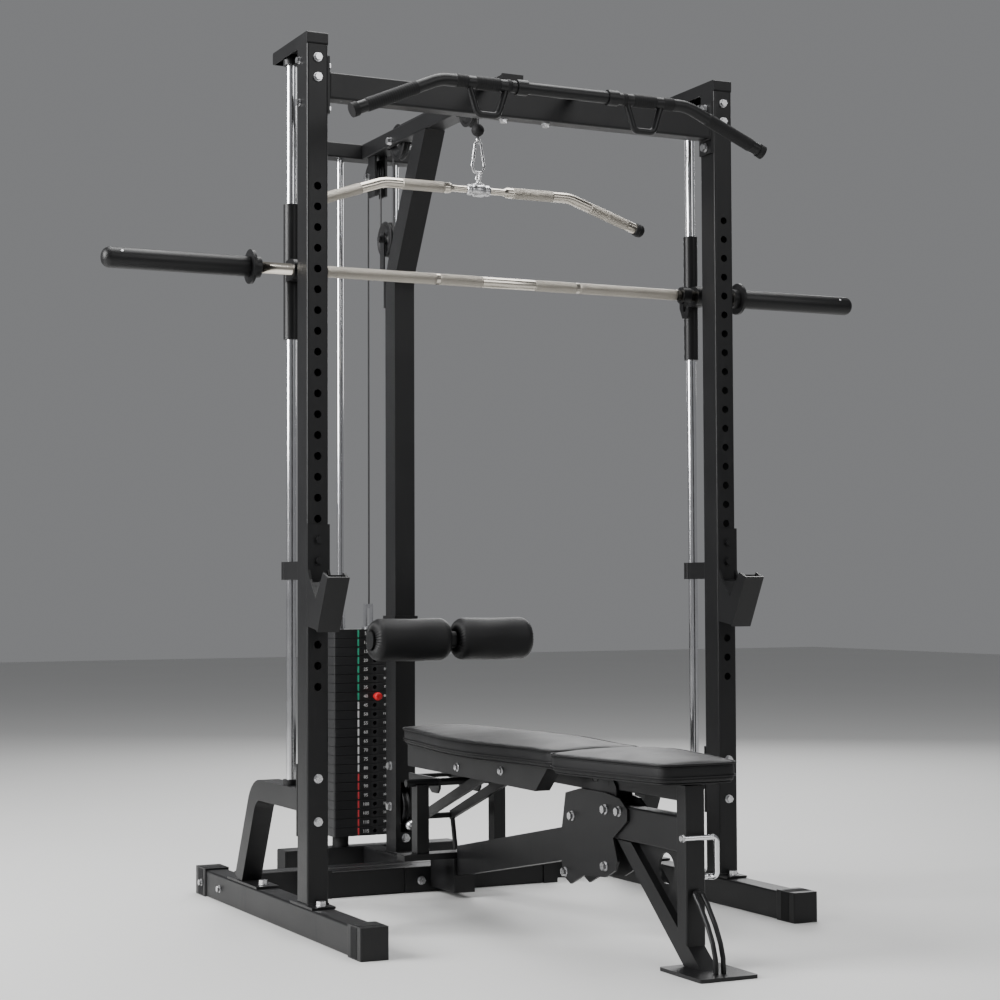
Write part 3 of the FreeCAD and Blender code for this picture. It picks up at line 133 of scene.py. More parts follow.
def sweep(name, path, radius, side, sides=24, ends=True):
    """Round bar: circle of the given radii carried along a path; the ends are closed flat."""
    path = np.asarray(path, float)
    radius = np.broadcast_to(np.asarray(radius, float), len(path)).copy()
    if ends:
        path = np.concatenate([path[:1], path, path[-1:]])
        radius = np.concatenate([[1e-5], radius, [1e-5]])
    inner = path[1:-1] if ends else path
    across, over = ring_basis(inner, side)
    if ends:
        across = np.concatenate([across[:1], across, across[-1:]])
        over = np.concatenate([over[:1], over, over[-1:]])
    points = path[:, None] + ring_about(across, over, sides) * radius[:, None, None]
    length = np.linalg.norm(np.diff(path, axis=0), axis=1).sum()
    return grid_object(name, points, wrap_columns=True, metres=(length, TAU * radius.max()))


def revolve(name, profile, centre, axis, segments=64, metres=True):
    """Turned part: (distance along the axis, radius) pairs spun about an axis through a centre."""
    profile = np.asarray(profile, float)
    turn = Vector((1, 0, 0)).rotation_difference(Vector(axis)).to_matrix()
    turn = np.array(turn)
    angle = np.arange(segments) / segments * TAU
    radius = np.maximum(profile[:, 1], 1e-5)[:, None]
    points = np.stack([np.broadcast_to(profile[:, :1], (len(profile), segments)),
                       radius * np.cos(angle), radius * np.sin(angle)], axis=-1)
    points = points @ turn.T + np.asarray(centre, float)
    length = np.linalg.norm(np.diff(profile, axis=0), axis=1).sum()
    size = (length, TAU * profile[:, 1].max()) if metres else None
    return grid_object(name, points, wrap_columns=True, metres=size)


def smooth_path(corners, radius, spacing=0.004):
    """Path through corners with a round bend of the given radius at each inner one."""
    corners = [np.asarray(p, float) for p in corners]
    pieces = []
    start = corners[0]
    for before, corner, after in zip(corners, corners[1:], corners[2:]):
        back = (before - corner) / np.linalg.norm(before - corner)
        ahead = (after - corner) / np.linalg.norm(after - corner)
        half = (math.pi - math.acos(np.clip(back @ ahead, -1, 1))) / 2
        reach = radius * math.tan(half)
        middle = (back + ahead) / np.linalg.norm(back + ahead)
        centre = corner + middle * (radius / math.cos(half))
        entry, leave = corner + back * reach, corner + ahead * reach
        pieces.append(line_points(start, entry, spacing)[:-1])
        share = np.linspace(0, 1, max(6, int(2 * half * radius / spacing)))[:, None]
        turn = 2 * half
        blend = np.sin((1 - share) * turn) * (entry - centre) + np.sin(share * turn) * (leave - centre)
        pieces.append((centre + blend / math.sin(turn))[:-1])
        start = leave
    pieces.append(line_points(start, corners[-1], spacing))
    return np.concatenate(pieces)


def loop_travel(loop):
    """A loop with its first point again at the end, and the distance along it to each point."""
    closed = np.concatenate([loop, loop[:1]])
    return closed, np.concatenate([[0], np.cumsum(np.linalg.norm(np.diff(closed, axis=0), axis=1))])


def even_loop(loop, count):
    """A closed outline at even spacing, and the distance along it to each new point."""
    closed, travel = loop_travel(loop)
    place = np.arange(count) / count * travel[-1]
    return np.stack([np.interp(place, travel, closed[:, axis]) for axis in range(2)], axis=1), place


def closed_tube(name, loop, radius, up, sides):
    """Round bead along a closed loop: at each point a circle square to it, with one axis along `up`."""
    along = np.roll(loop, -1, 0) - np.roll(loop, 1, 0)
    along /= np.linalg.norm(along, axis=1, keepdims=True)
    up = np.broadcast_to(np.asarray(up, float), along.shape)
    ring = ring_about(np.cross(along, up), up, sides)
    radius = np.broadcast_to(radius, len(loop))[:, None, None]
    return grid_object(name, loop[:, None] + ring * radius, wrap_rows=True, wrap_columns=True)


def from_ends(count):
    """Steps to the nearer end of a row: 0, 1, 2 and so on, up to the middle and back down."""
    step = np.arange(count)
    return np.minimum(step, step[::-1])


def line_points(start, end, spacing):
    """Evenly spaced points on a straight run."""
    count = max(2, int(np.linalg.norm(np.subtract(end, start)) / spacing) + 1)
    return np.linspace(start, end, count)


def join(name, pieces):
    """Join pieces into one object under a new name, keeping their materials."""
    bpy.ops.object.select_all(action="DESELECT")
    for piece in pieces:
        piece.select_set(True)
    bpy.context.view_layer.objects.active = pieces[0]
    bpy.ops.object.join()
    pieces[0].name = name
    return pieces[0]


def rounded_loop(width, height, corner, count):
    """Closed outline of a rectangle with a round corner on each quarter."""
    angle = np.arange(count) / count * TAU
    arc = np.stack([np.cos(angle), np.sin(angle)])
    return (np.sign(arc) * [[width / 2 - corner], [height / 2 - corner]] + arc * corner).T


def coat(piece, slot, finish=None):
    """Name a piece's slot and give it that slot's finish, or another one."""
    piece.data.materials.clear()
    piece.data.materials.append(FINISHES[finish or slot])
    return piece


class Wire:
    """A number socket that takes part in sums, with plain numbers or other wires."""

    def __init__(self, shader, socket):
        self.shader = shader
        self.socket = socket

    def _math(self, operation, first, second):
        made = self.shader.node("ShaderNodeMath", {"operation": operation}, {0: first, 1: second})
        return Wire(self.shader, made.outputs[0])

    def __add__(self, other):
        return self._math("ADD", self, other)

    def __radd__(self, other):
        return self._math("ADD", other, self)

    def __sub__(self, other):
        return self._math("SUBTRACT", self, other)

    def __rsub__(self, other):
        return self._math("SUBTRACT", other, self)

    def __mul__(self, other):
        return self._math("MULTIPLY", self, other)

    def __rmul__(self, other):
        return self._math("MULTIPLY", other, self)

    def __pow__(self, other):
        return self._math("POWER", self, other)

    def above(self, level):
        return self._math("GREATER_THAN", self, level)

    def wave(self):
        return self._math("SINE", self, 0.0)


class Finish:
    """One material with its Principled shader and the few nodes that vary it."""

    def __init__(self, name):
        self.material = bpy.data.materials.new(name)
        self.material.use_nodes = True
        self.tree = self.material.node_tree
        self.shader = self.tree.nodes["Principled BSDF"]

    def node(self, kind, settings=None, values=None):
        """Any node: its settings first, then the value or link of each socket."""
        made = self.tree.nodes.new(kind)
        for key, value in (settings or {}).items():
            setattr(made, key, value)
        for key, value in (values or {}).items():
            self.feed(made.inputs[key], value)
        return made

    def feed(self, socket, value):
        if isinstance(value, Wire):
            self.tree.links.new(value.socket, socket)
        elif isinstance(value, bpy.types.NodeSocket):
            self.tree.links.new(value, socket)
        else:
            socket.default_value = value

    def place(self):
        return self.node("ShaderNodeTexCoord").outputs["Object"]

    def metres(self):
        return self.node("ShaderNodeUVMap", {"uv_map": "Metres"}).outputs["UV"]

    def parts(self, vector):
        split = self.node("ShaderNodeSeparateXYZ", values={"Vector": vector})
        return [Wire(self, split.outputs[axis]) for axis in range(3)]

    def stretched(self, vector, scale):
        return self.node("ShaderNodeMapping", values={"Vector": vector, "Scale": scale}).outputs["Vector"]

    def noise(self, vector, scale, detail=2.0):
        made = self.node("ShaderNodeTexNoise", values={"Vector": vector, "Scale": scale, "Detail": detail})
        return Wire(self, made.outputs["Fac"])

    def cells(self, vector, scale):
        made = self.node("ShaderNodeTexVoronoi", values={"Vector": vector, "Scale": scale})
        return Wire(self, made.outputs["Distance"])

    def tint(self, share, dark, light):
        """Colour that goes from dark to light with a share."""
        mix = self.node("ShaderNodeMix", {"data_type": "RGBA"}, {0: share, 6: (*dark, 1), 7: (*light, 1)})
        return mix.outputs[2]

    def bump(self, height, strength, depth):
        made = self.node("ShaderNodeBump", values={"Height": height, "Strength": strength, "Distance": depth})
        self.feed(self.shader.inputs["Normal"], made.outputs["Normal"])

    def set(self, **values):
        """Set or link sockets of the shader, named with underscores for spaces."""
        for key, value in values.items():
            self.feed(self.shader.inputs[key.replace("_", " ")], value)
        return self


def scaled(colour, factor):
    return tuple(min(1.0, part * factor) for part in colour)


def powder_coat(name, colour, grain=900.0):
    """Textured powder coat: fine orange-peel bump, cloudy gloss and faint scuffs."""
    finish = Finish(name)
    place = finish.place()
    cloud = finish.noise(place, 7.0, 4.0)
    scuff = finish.noise(finish.stretched(place, (60.0, 60.0, 9.0)), 1.0, 5.0)
    worn = (scuff - 0.60) * 3.0
    worn = worn * worn.above(0.0)
    finish.set(Base_Color=finish.tint(cloud * 0.6 + worn, scaled(colour, 0.7), scaled(colour, 1.6)),
               Roughness=cloud * 0.16 + 0.30 + worn * 0.2, Specular_IOR_Level=0.34)
    finish.bump(finish.noise(place, grain, 2.0) + finish.noise(place, grain / 3.0, 1.0) * 0.6, 0.35, 0.0006)
    return finish.material


def polished_metal(name, colour, rough=0.07, streak=(300.0, 300.0, 8.0)):
    """Plated metal: faint polishing streaks in its gloss."""
    finish = Finish(name)
    place = finish.place()
    streaks = finish.noise(finish.stretched(place, streak), 1.0, 3.0)
    smear = finish.noise(place, 18.0, 3.0)
    finish.set(Base_Color=finish.tint(smear, scaled(colour, 0.86), colour), Metallic=1.0,
               Roughness=streaks * 0.10 + smear * 0.06 + rough)
    finish.bump(streaks, 0.08, 0.0003)
    return finish.material


def knurled_metal(name, colour, pitch=0.0016):
    """Plated grip with a diamond knurl: two crossing waves over the UV map in metres."""
    finish = Finish(name)
    metres = finish.metres()
    u, v, _ = finish.parts(metres)
    turn = TAU / pitch
    diamonds = ((u + v) * turn).wave() + ((u - v) * turn).wave()
    smear = finish.noise(finish.place(), 22.0, 4.0)
    # colour darkens in the knurl's grooves along the diamond relief: painted shade, mixed with random smear
    # tone
    groove_shade_and_smear = finish.tint(diamonds * 0.25 + smear * 0.3 + 0.2, scaled(colour, 0.5), colour)
    finish.set(Base_Color=groove_shade_and_smear, Metallic=1.0, Roughness=smear * 0.08 + 0.30)
    finish.bump(diamonds, 0.55, 0.0004)
    return finish.material


def vinyl(name, colour, grain=520.0, crease=14.0):
    """Upholstery vinyl: pebbled grain with soft creases."""
    finish = Finish(name)
    place = finish.place()
    pebbles = finish.cells(place, grain)
    soft = finish.noise(place, crease, 5.0)
    finish.set(Base_Color=finish.tint(soft * 0.7 + pebbles * 0.35, scaled(colour, 0.7), scaled(colour, 2.1)),
               Roughness=soft * 0.18 + pebbles * 0.10 + 0.36, Specular_IOR_Level=0.28)
    finish.bump(pebbles * 0.7 + soft * 0.8, 0.45, 0.0008)
    return finish.material


def moulded(name, colour, grain=420.0, rough=0.42):
    """Moulded plastic or rubber: spark-eroded grain and rubbed patches."""
    finish = Finish(name)
    place = finish.place()
    speck = finish.noise(place, grain, 2.0)
    rubbed = finish.noise(place, 25.0, 3.0)
    finish.set(Base_Color=finish.tint(rubbed, scaled(colour, 0.8), scaled(colour, 1.5)),
               Roughness=rubbed * 0.16 + rough, Specular_IOR_Level=0.32)
    finish.bump(speck, 0.30, 0.0004)
    return finish.material


def cast_plate(name, colour):
    """Painted iron plate: sanded faces with a fine horizontal lay."""
    finish = Finish(name)
    place = finish.place()
    lay = finish.noise(finish.stretched(place, (8.0, 8.0, 700.0)), 1.0, 3.0)
    cloud = finish.noise(place, 12.0, 4.0)
    finish.set(Base_Color=finish.tint(cloud * 0.7 + lay * 0.3, scaled(colour, 0.7), scaled(colour, 1.7)),
               Roughness=cloud * 0.16 + lay * 0.12 + 0.32, Specular_IOR_Level=0.34)
    finish.bump(lay + finish.noise(place, 350.0, 2.0), 0.25, 0.0005)
    return finish.material


def print_ink(name, colour):
    """Printed mark, slightly rubbed."""
    finish = Finish(name)
    rubbed = finish.noise(finish.place(), 260.0, 4.0)
    finish.set(Base_Color=finish.tint(rubbed, scaled(colour, 0.72), colour), Roughness=rubbed * 0.2 + 0.4)
    finish.bump(rubbed, 0.1, 0.0002)
    return finish.material


def jacket(name, colour):
    """Cable jacket with the strands' lay showing through as slanted ridges."""
    finish = Finish(name)
    _, _, height = finish.parts(finish.place())
    ridges = (height * 2400.0).wave()
    speck = finish.noise(finish.place(), 300.0, 2.0)
    finish.set(Base_Color=finish.tint(speck, scaled(colour, 0.7), scaled(colour, 2.0)),
               Roughness=speck * 0.2 + 0.35)
    finish.bump(ridges * 0.4 + speck, 0.25, 0.0003)
    return finish.material


def floor_finish(name, colour):
    """Pale seamless floor."""
    finish = Finish(name)
    cloud = finish.noise(finish.place(), 0.7, 5.0)
    speck = finish.noise(finish.place(), 60.0, 3.0)
    finish.set(Base_Color=finish.tint(cloud, scaled(colour, 0.95), colour), Roughness=speck * 0.12 + 0.55)
    finish.bump(speck, 0.05, 0.001)
    return finish.material


FINISHES = {}


def make_finishes(colours):
    """Build every material once, from the panel's colours."""
    black = tuple(colours.frame)
    FINISHES.update({
        "frame_paint": powder_coat("frame_powder_coat", black),
        "hardware_zinc": polished_metal("zinc_hardware", tuple(colours.zinc), 0.20, (90.0, 90.0, 90.0)),
        "chrome_rod": polished_metal("hard_chrome", tuple(colours.chrome)),
        "grip_chrome": polished_metal("grip_plain", tuple(colours.grip), 0.12, (12.0, 300.0, 300.0)),
        "sleeve_paint": powder_coat("sleeve_enamel", black, 1500.0),
        "plastic_black": moulded("black_plastic", black),
        "rubber_black": moulded("black_rubber", scaled(black, 0.9), 240.0, 0.55),
        "cable_jacket": jacket("cable_jacket", black),
        "plate_iron": cast_plate("plate_paint", scaled(black, 1.5)),
        "knob_red": moulded("red_knob", tuple(colours.knob), 300.0, 0.18),
        "pad_vinyl": vinyl("pad_vinyl", scaled(black, 0.8)),
        "roller_vinyl": vinyl("roller_vinyl", scaled(black, 0.75), 700.0, 10.0),
        "knurl": knurled_metal("knurled_grip", tuple(colours.grip)),
        "ink_white": print_ink("label_white", (0.78, 0.78, 0.78)),
        "ink_green": print_ink("label_green", (0.02, 0.42, 0.24)),
        "ink_red": print_ink("label_red", (0.62, 0.04, 0.05)),
    })


# ---- settings -----------------------------------------------------------
class RackColours(bpy.types.PropertyGroup):
    frame: FloatVectorProperty(name="Frame", description="Powder coat on the frame", subtype="COLOR",
                               default=(0.0075, 0.0075, 0.0080), min=0, max=1)
    chrome: FloatVectorProperty(name="Chrome", description="Plating on the guide rods", subtype="COLOR",
                                default=(0.86, 0.86, 0.88), min=0, max=1)
    grip: FloatVectorProperty(name="Grip", description="Plating on the bars that are held", subtype="COLOR",
                              default=(0.70, 0.65, 0.57), min=0, max=1)
    zinc: FloatVectorProperty(name="Zinc", description="Plating on bolts and links", subtype="COLOR",
                              default=(0.72, 0.72, 0.73), min=0, max=1)
    knob: FloatVectorProperty(name="Knob", description="Selector pin's knob", subtype="COLOR",
                              default=(0.42, 0.012, 0.016), min=0, max=1)
    floor: FloatVectorProperty(name="Floor", description="Studio floor", subtype="COLOR",
                               default=(0.72, 0.72, 0.71), min=0, max=1)


class RackSizes(bpy.types.PropertyGroup):
    welt: FloatProperty(name="Welt", description="Radius of the piping on the pads", subtype="DISTANCE",
                        default=2.6 * MM, min=0.001, max=0.006)
    puff: FloatProperty(name="Puff", description="Furthest that a pad's cover may swell", subtype="DISTANCE",
                        default=7.0 * MM, min=0.0, max=0.02)
    voxel: FloatProperty(name="Voxel", description="Mesh size of the pads before they swell",
                         subtype="DISTANCE", default=6.0 * MM, min=0.003, max=0.012)
    pleats: IntProperty(name="Pleats", description="Folds on each end of a knee roller",
                        default=18, min=6, max=40)
    cable: FloatProperty(name="Cable", description="Cable's diameter", subtype="DISTANCE", default=5.0 * MM,
                         min=0.002, max=0.01)


# ---- pads ---------------------------------------------------------------
def pad_outline(node, count=180):
    """Closed outline of a pad: the widest x at each y of its solid, evenly spaced and softened."""
    mesh = frame["nodes"][node].data
    co = np.empty(len(mesh.vertices) * 3)
    mesh.vertices.foreach_get("co", co)
    co = co.reshape(-1, 3)
    level = co[np.abs(co[:, 2] - co[:, 2].min()) < 1e-4]
    right = level[level[:, 0] > 0]
    right = right[np.argsort(right[:, 1])]
    keys = np.unique(np.round(right[:, 1], 4))
    widest = np.array([right[np.abs(right[:, 1] - key) < 2e-4][:, 0].max() for key in keys])
    side = np.stack([widest, keys], axis=1)
    even, _ = even_loop(np.concatenate([side, side[::-1] * (-1, 1)]), count)
    soft = even
    for _ in range(12):
        soft = (np.roll(soft, 1, 0) + 2 * soft + np.roll(soft, -1, 0)) / 4
    middle = (even.max(0) + even.min(0)) / 2
    return middle + (soft - (soft.max(0) + soft.min(0)) / 2) * np.ptp(even, axis=0) / np.ptp(soft, axis=0)


def outward(loop):
    """Unit direction out of a closed anticlockwise outline at each of its points."""
    along = np.roll(loop, -1, 0) - np.roll(loop, 1, 0)
    normal = np.stack([along[:, 1], -along[:, 0]], axis=1)
    return normal / np.linalg.norm(normal, axis=1, keepdims=True)


def cushion_shell(name, outline, low, high, crown):
    """Cushion: rings of the outline, drawn in towards its middle line, over a flat back and a crowned face.

    A ring at share s keeps s of the way from the middle line to the outline; the face rises by
    crown times (1 - s squared), and the side bulges by a half sine between back and face."""
    reach = 0.8 * np.abs(outline[:, 0]).max()
    middle_y = np.clip(outline[:, 1], outline[:, 1].min() + reach, outline[:, 1].max() - reach)
    middle = np.stack([np.zeros(len(outline)), middle_y], axis=1)
    back_share = np.array([0.02, 0.3, 0.6, 0.85, 0.96, 0.985])
    side = np.linspace(0, 1, 9)
    side_share = 0.985 + 0.015 * np.sin(side * math.pi) ** 0.5
    face_share = np.array([0.965, 0.93, 0.85, 0.7, 0.5, 0.3, 0.02])
    share = np.concatenate([back_share, side_share, face_share])
    edge = high - low - crown
    height = np.concatenate([np.zeros(len(back_share)), 0.06 * edge + 0.88 * edge * side,
                             edge + crown * (1 - face_share ** 2)]) + low
    flat = middle[None] + (outline - middle)[None] * share[:, None, None]
    level = np.broadcast_to(height[:, None, None], (*flat.shape[:2], 1))
    points = np.concatenate([flat, level], axis=2)
    piece = grid_object(name, points, wrap_columns=True)
    work = bmesh.new()
    work.from_mesh(piece.data)
    bmesh.ops.holes_fill(work, edges=[e for e in work.edges if e.is_boundary])
    bmesh.ops.recalc_face_normals(work, faces=work.faces)
    work.to_mesh(piece.data)
    work.free()
    return piece


def read_points(mesh):
    co = np.empty(len(mesh.vertices) * 3)
    mesh.vertices.foreach_get("co", co)
    return co.reshape(-1, 3)


def swell(piece, sizes, pinned, force=4.0, frames=20):
    """Swell a cover by cloth with pressure; pinned points stay, and none moves further than the cap."""
    remesh = piece.modifiers.new("Remesh", "REMESH")
    remesh.mode = "VOXEL"
    remesh.voxel_size = sizes.voxel
    bpy.context.view_layer.objects.active = piece
    bpy.ops.object.modifier_apply(modifier=remesh.name)
    rest = read_points(piece.data)
    group = piece.vertex_groups.new(name="Pinned")
    group.add(np.flatnonzero(pinned(rest)).tolist(), 1.0, "REPLACE")
    cloth = piece.modifiers.new("Cover", "CLOTH")
    cloth.settings.quality = 5
    cloth.settings.mass = 0.3
    cloth.settings.tension_stiffness = 12
    cloth.settings.compression_stiffness = 12
    cloth.settings.shear_stiffness = 8
    cloth.settings.bending_stiffness = 0.6
    cloth.settings.use_pressure = True
    cloth.settings.uniform_pressure_force = force
    cloth.settings.vertex_group_mass = "Pinned"
    cloth.settings.effector_weights.gravity = 0
    cloth.collision_settings.use_collision = False
    scene = bpy.context.scene
    for number in range(1, frames + 1):
        scene.frame_set(number)
    view = piece.evaluated_get(bpy.context.evaluated_depsgraph_get())
    moved = read_points(view.data) - rest
    piece.modifiers.remove(cloth)
    scene.frame_set(1)
    length = np.linalg.norm(moved, axis=1, keepdims=True)
    rest = rest + moved * np.minimum(1, sizes.puff / np.maximum(length, 1e-9))
    piece.data.vertices.foreach_set("co", rest.ravel())
    piece.vertex_groups.clear()
    piece.data.polygons.foreach_set("use_smooth", np.full(len(piece.data.polygons), True))
    smooth = piece.modifiers.new("Smooth", "SUBSURF")
    smooth.levels = 1
    smooth.render_levels = 1
    return piece


def welt(name, outline, level, radius, out):
    """Piping: a round cord laid along the outline at one height, a little proud of the cover."""
    flat = outline + outward(outline) * out
    return closed_tube(name, np.column_stack([flat, np.full(len(flat), level)]), radius, (0, 0, 1), 12)


def stitches(name, outline, level, out, spacing=0.007):
    """Row of stitches: short raised beads spaced evenly along the outline, made as one wavy ribbon.

    The ribbon's radius is a half-wave that falls to a thread's width between stitches."""
    steps = int(loop_travel(outline)[1][-1] / spacing) * 6
    even, _ = even_loop(outline, steps)
    flat = even + outward(even) * out
    radius = 0.00025 + 0.0006 * np.abs(np.sin(np.arange(steps) / 6 * math.pi))
    return closed_tube(name, np.column_stack([flat, np.full(steps, level)]), radius, (0, 0, 1), 6)


def upholster(node, body, name):
    """One pad: swollen cover, two welts with their stitches, and the board under it."""
    sizes = bpy.context.scene.rack_sizes
    low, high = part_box(node)
    outline = pad_outline(node)
    base, top = low.z, high.z
    upper = top - 0.011
    lower = base + 0.014
    cover = cushion_shell(name, outline - outward(outline) * 0.003, base + 0.001, top - 0.002, 0.006)

    def pinned(points):
        near_seam = np.minimum(np.abs(points[:, 2] - upper), np.abs(points[:, 2] - lower)) < 0.0032
        inside = np.abs(points[:, 0]) < np.interp(points[:, 1], *side_table(outline)) - 0.012
        on_face = inside & (points[:, 2] > base + 0.01)
        return (near_seam & ~on_face) | (points[:, 2] < base + 0.004)

    swell(cover, sizes, pinned)
    coat(cover, "pad_vinyl")
    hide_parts(node)
    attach(cover, body)
    trims = []
    for level, radius in ((upper, sizes.welt), (lower, sizes.welt * 0.55)):
        trims.append(coat(welt(name + "_welt", outline, level, radius, -0.0008), "pad_vinyl"))
        trims.append(coat(stitches(name + "_stitch", outline, level - 0.0055, -0.0016), "rubber_black"))
    trim = join(name + "_piping", trims)
    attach(trim, body)
    inset = outline - outward(outline) * 0.010
    board = cushion_shell(name + "_board", inset, base - 0.0024, base + 0.002, 0.0002)
    coat(board, "rubber_black")
    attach(board, body)


def side_table(outline):
    """The outline's right side as rising y against x, for looking up the half width."""
    right = outline[outline[:, 0] > 0]
    order = np.argsort(right[:, 1])
    return right[order, 1], right[order, 0]


# ---- knee rollers -------------------------------------------------------
def roller_surface(name, inner, outer, centre, radius, pleats, swirl):
    """Padded roller about X: a barrel whose ends gather into pleats round the axle.

    Along the profile the distance from the middle is a rounded-shoulder curve; on the ends the
    surface waves in and out by a sine of the angle, growing towards the axle, and turns by swirl."""
    half = (outer - inner) / 2
    shoulder = 0.024
    hub = 0.017
    body_x = np.linspace(-half + shoulder, half - shoulder, 24)
    quarter = np.linspace(0, math.pi / 2, 12)
    round_x = half - shoulder + shoulder * np.sin(quarter)
    round_r = radius - shoulder + shoulder * np.cos(quarter)
    end_share = np.linspace(0, 1, 16)[1:]
    end_r = (radius - shoulder) + (hub - radius + shoulder) * end_share
    end_x = half - 0.012 * end_share ** 1.5
    right_x = np.concatenate([round_x[1:], end_x])
    right_r = np.concatenate([round_r[1:], end_r])
    x = np.concatenate([-right_x[::-1], body_x, right_x])
    r = np.concatenate([right_r[::-1], np.full(len(body_x), radius), right_r])
    gather = np.clip((radius - 0.004 - r) / (radius - 0.004 - hub), 0, 1)
    angle = np.arange(240) / 240 * TAU
    wave = np.sin(pleats * (angle[None] + swirl * gather[:, None] * np.sign(x)[:, None]))
    fold = np.abs(wave) ** 0.6
    lift = gather ** 0.8 * (1 - gather ** 6)
    x_all = x[:, None] + np.sign(x)[:, None] * lift[:, None] * (fold - 0.75) * 0.009
    wrinkle = 0.0007 * np.sin(3 * angle[None] + 40 * x[:, None]) * (gather[:, None] < 0.01)
    r_all = np.minimum(r[:, None] * (1 + 0.012 * lift[:, None] * wave) + wrinkle, radius + 0.002)
    points = np.stack([x_all, r_all * np.cos(angle), r_all * np.sin(angle)], axis=-1)
    points += np.array([(outer + inner) / 2, centre.y, centre.z])
    return grid_object(name, points, wrap_columns=True)


# ---- operators ----------------------------------------------------------
class RACK_OT_finishes(bpy.types.Operator):
    """Give every carried-over metal part its finish"""
    bl_idname = "rack.finishes"
    bl_label = "Finishes"

    def execute(self, context):
        make_finishes(context.scene.rack_colours)
        for part in frame["record"]["subparts"]:
            node = frame["nodes"][part["node"]]
            node.data.materials.clear()
            node.data.materials.append(FINISHES[part["material_slot"]])
        return {"FINISHED"}


class RACK_OT_pads(bpy.types.Operator):
    """Upholster the backrest and the seat"""
    bl_idname = "rack.pads"
    bl_label = "Pads"

    def execute(self, context):
        upholster("back_pad", "backrest", "backrest_cover")
        upholster("seat_pad", "seat", "seat_cover")
        return {"FINISHED"}


class RACK_OT_rollers(bpy.types.Operator):
    """Make the two knee rollers with their gathered ends"""
    bl_idname = "rack.rollers"
    bl_label = "Knee rollers"

    def execute(self, context):
        sizes = context.scene.rack_sizes
        for word, side in (("left", -1), ("right", 1)):
            low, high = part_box("roller_" + word)
            centre = (low + high) / 2
            radius = (high.z - low.z) / 2 - 0.001
            roller = roller_surface("knee_roller_" + word, low.x, high.x, centre, radius, sizes.pleats,
                                    0.12 * side)
            coat(roller, "roller_vinyl")
            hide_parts("roller_" + word)
            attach(roller, "knee_roller_" + word)
        return {"FINISHED"}


def lat_bar_radius(path):
    """Radius along the bar: a thin core near the hub, a short cone, then the grip."""
    low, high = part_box("lat_bar_caps")
    grip = (high.y - low.y) / 2 - 0.003
    return np.interp(np.abs(path[:, 0]), [0, 0.076, 0.083], [0.009, 0.009, grip])


class RACK_OT_lat_bar(bpy.types.Operator):
    """Make the lat bar with knurled grips, its hub and round end caps"""
    bl_idname = "rack.lat_bar"
    bl_label = "Lat bar"

    def execute(self, context):
        low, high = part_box("lat_bar")
        y = (low.y + high.y) / 2
        grip = 0.014
        level = high.z - 0.015
        end = np.array([high.x - 0.0045, y, low.z + 0.0133])
        bend = 0.272
        corners = [end * (-1, 1, 1), (-bend, y, level), (bend, y, level), end]
        path = smooth_path(corners, 0.09)
        pieces = [coat(sweep("lat_bar_plain", path, lat_bar_radius(path), (0, 1, 0), 32), "grip_chrome")]
        for side in SIDES:
            for first, last in ((0.10, 0.225), (0.335, 0.455)):
                chosen = path[(path[:, 0] * side > first) & (path[:, 0] * side < last)]
                radius = grip + 0.00045 * np.minimum(from_ends(len(chosen)), 1)
                band = sweep("lat_grip", chosen, radius, (0, 1, 0), 48)
                pieces.append(coat(band, "grip_chrome", "knurl"))
        hub = [(-0.034, 0.0), (-0.034, 0.011), (-0.030, 0.0145), (-0.022, 0.0145), (-0.020, 0.0128),
               (-0.014, 0.0175)]
        hub += [(-along, r) for along, r in reversed(hub)]
        pieces.append(coat(revolve("lat_hub", hub, (0, y, level), (1, 0, 0)), "grip_chrome", "hardware_zinc"))
        bar = join("lat_bar_dressed", pieces)
        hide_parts("lat_bar")
        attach(bar, "lat_handle")
        caps = []
        for side in SIDES:
            tip = end * (side, 1, 1)
            along = tip - np.array([bend * side, y, level])
            along /= np.linalg.norm(along)
            profile = [(-0.022, 0.0142), (-0.022, 0.0165), (-0.019, 0.0175), (-0.006, 0.0175)]
            dome = np.linspace(0, math.pi / 2, 9)
            profile += [(-0.006 + 0.0125 * math.sin(a), 0.0175 * math.cos(a)) for a in dome[1:]]
            caps.append(revolve("cap", profile, tip, along, 48))
            ring = [(-0.012, 0.0174), (-0.012, 0.0182), (-0.009, 0.0182), (-0.009, 0.0174)]
            caps.append(revolve("cap_ring", ring, tip, along, 48))
        caps = join("lat_bar_end_caps", [coat(cap, "rubber_black") for cap in caps])
        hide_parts("lat_bar_caps")
        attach(caps, "lat_handle")
        return {"FINISHED"}


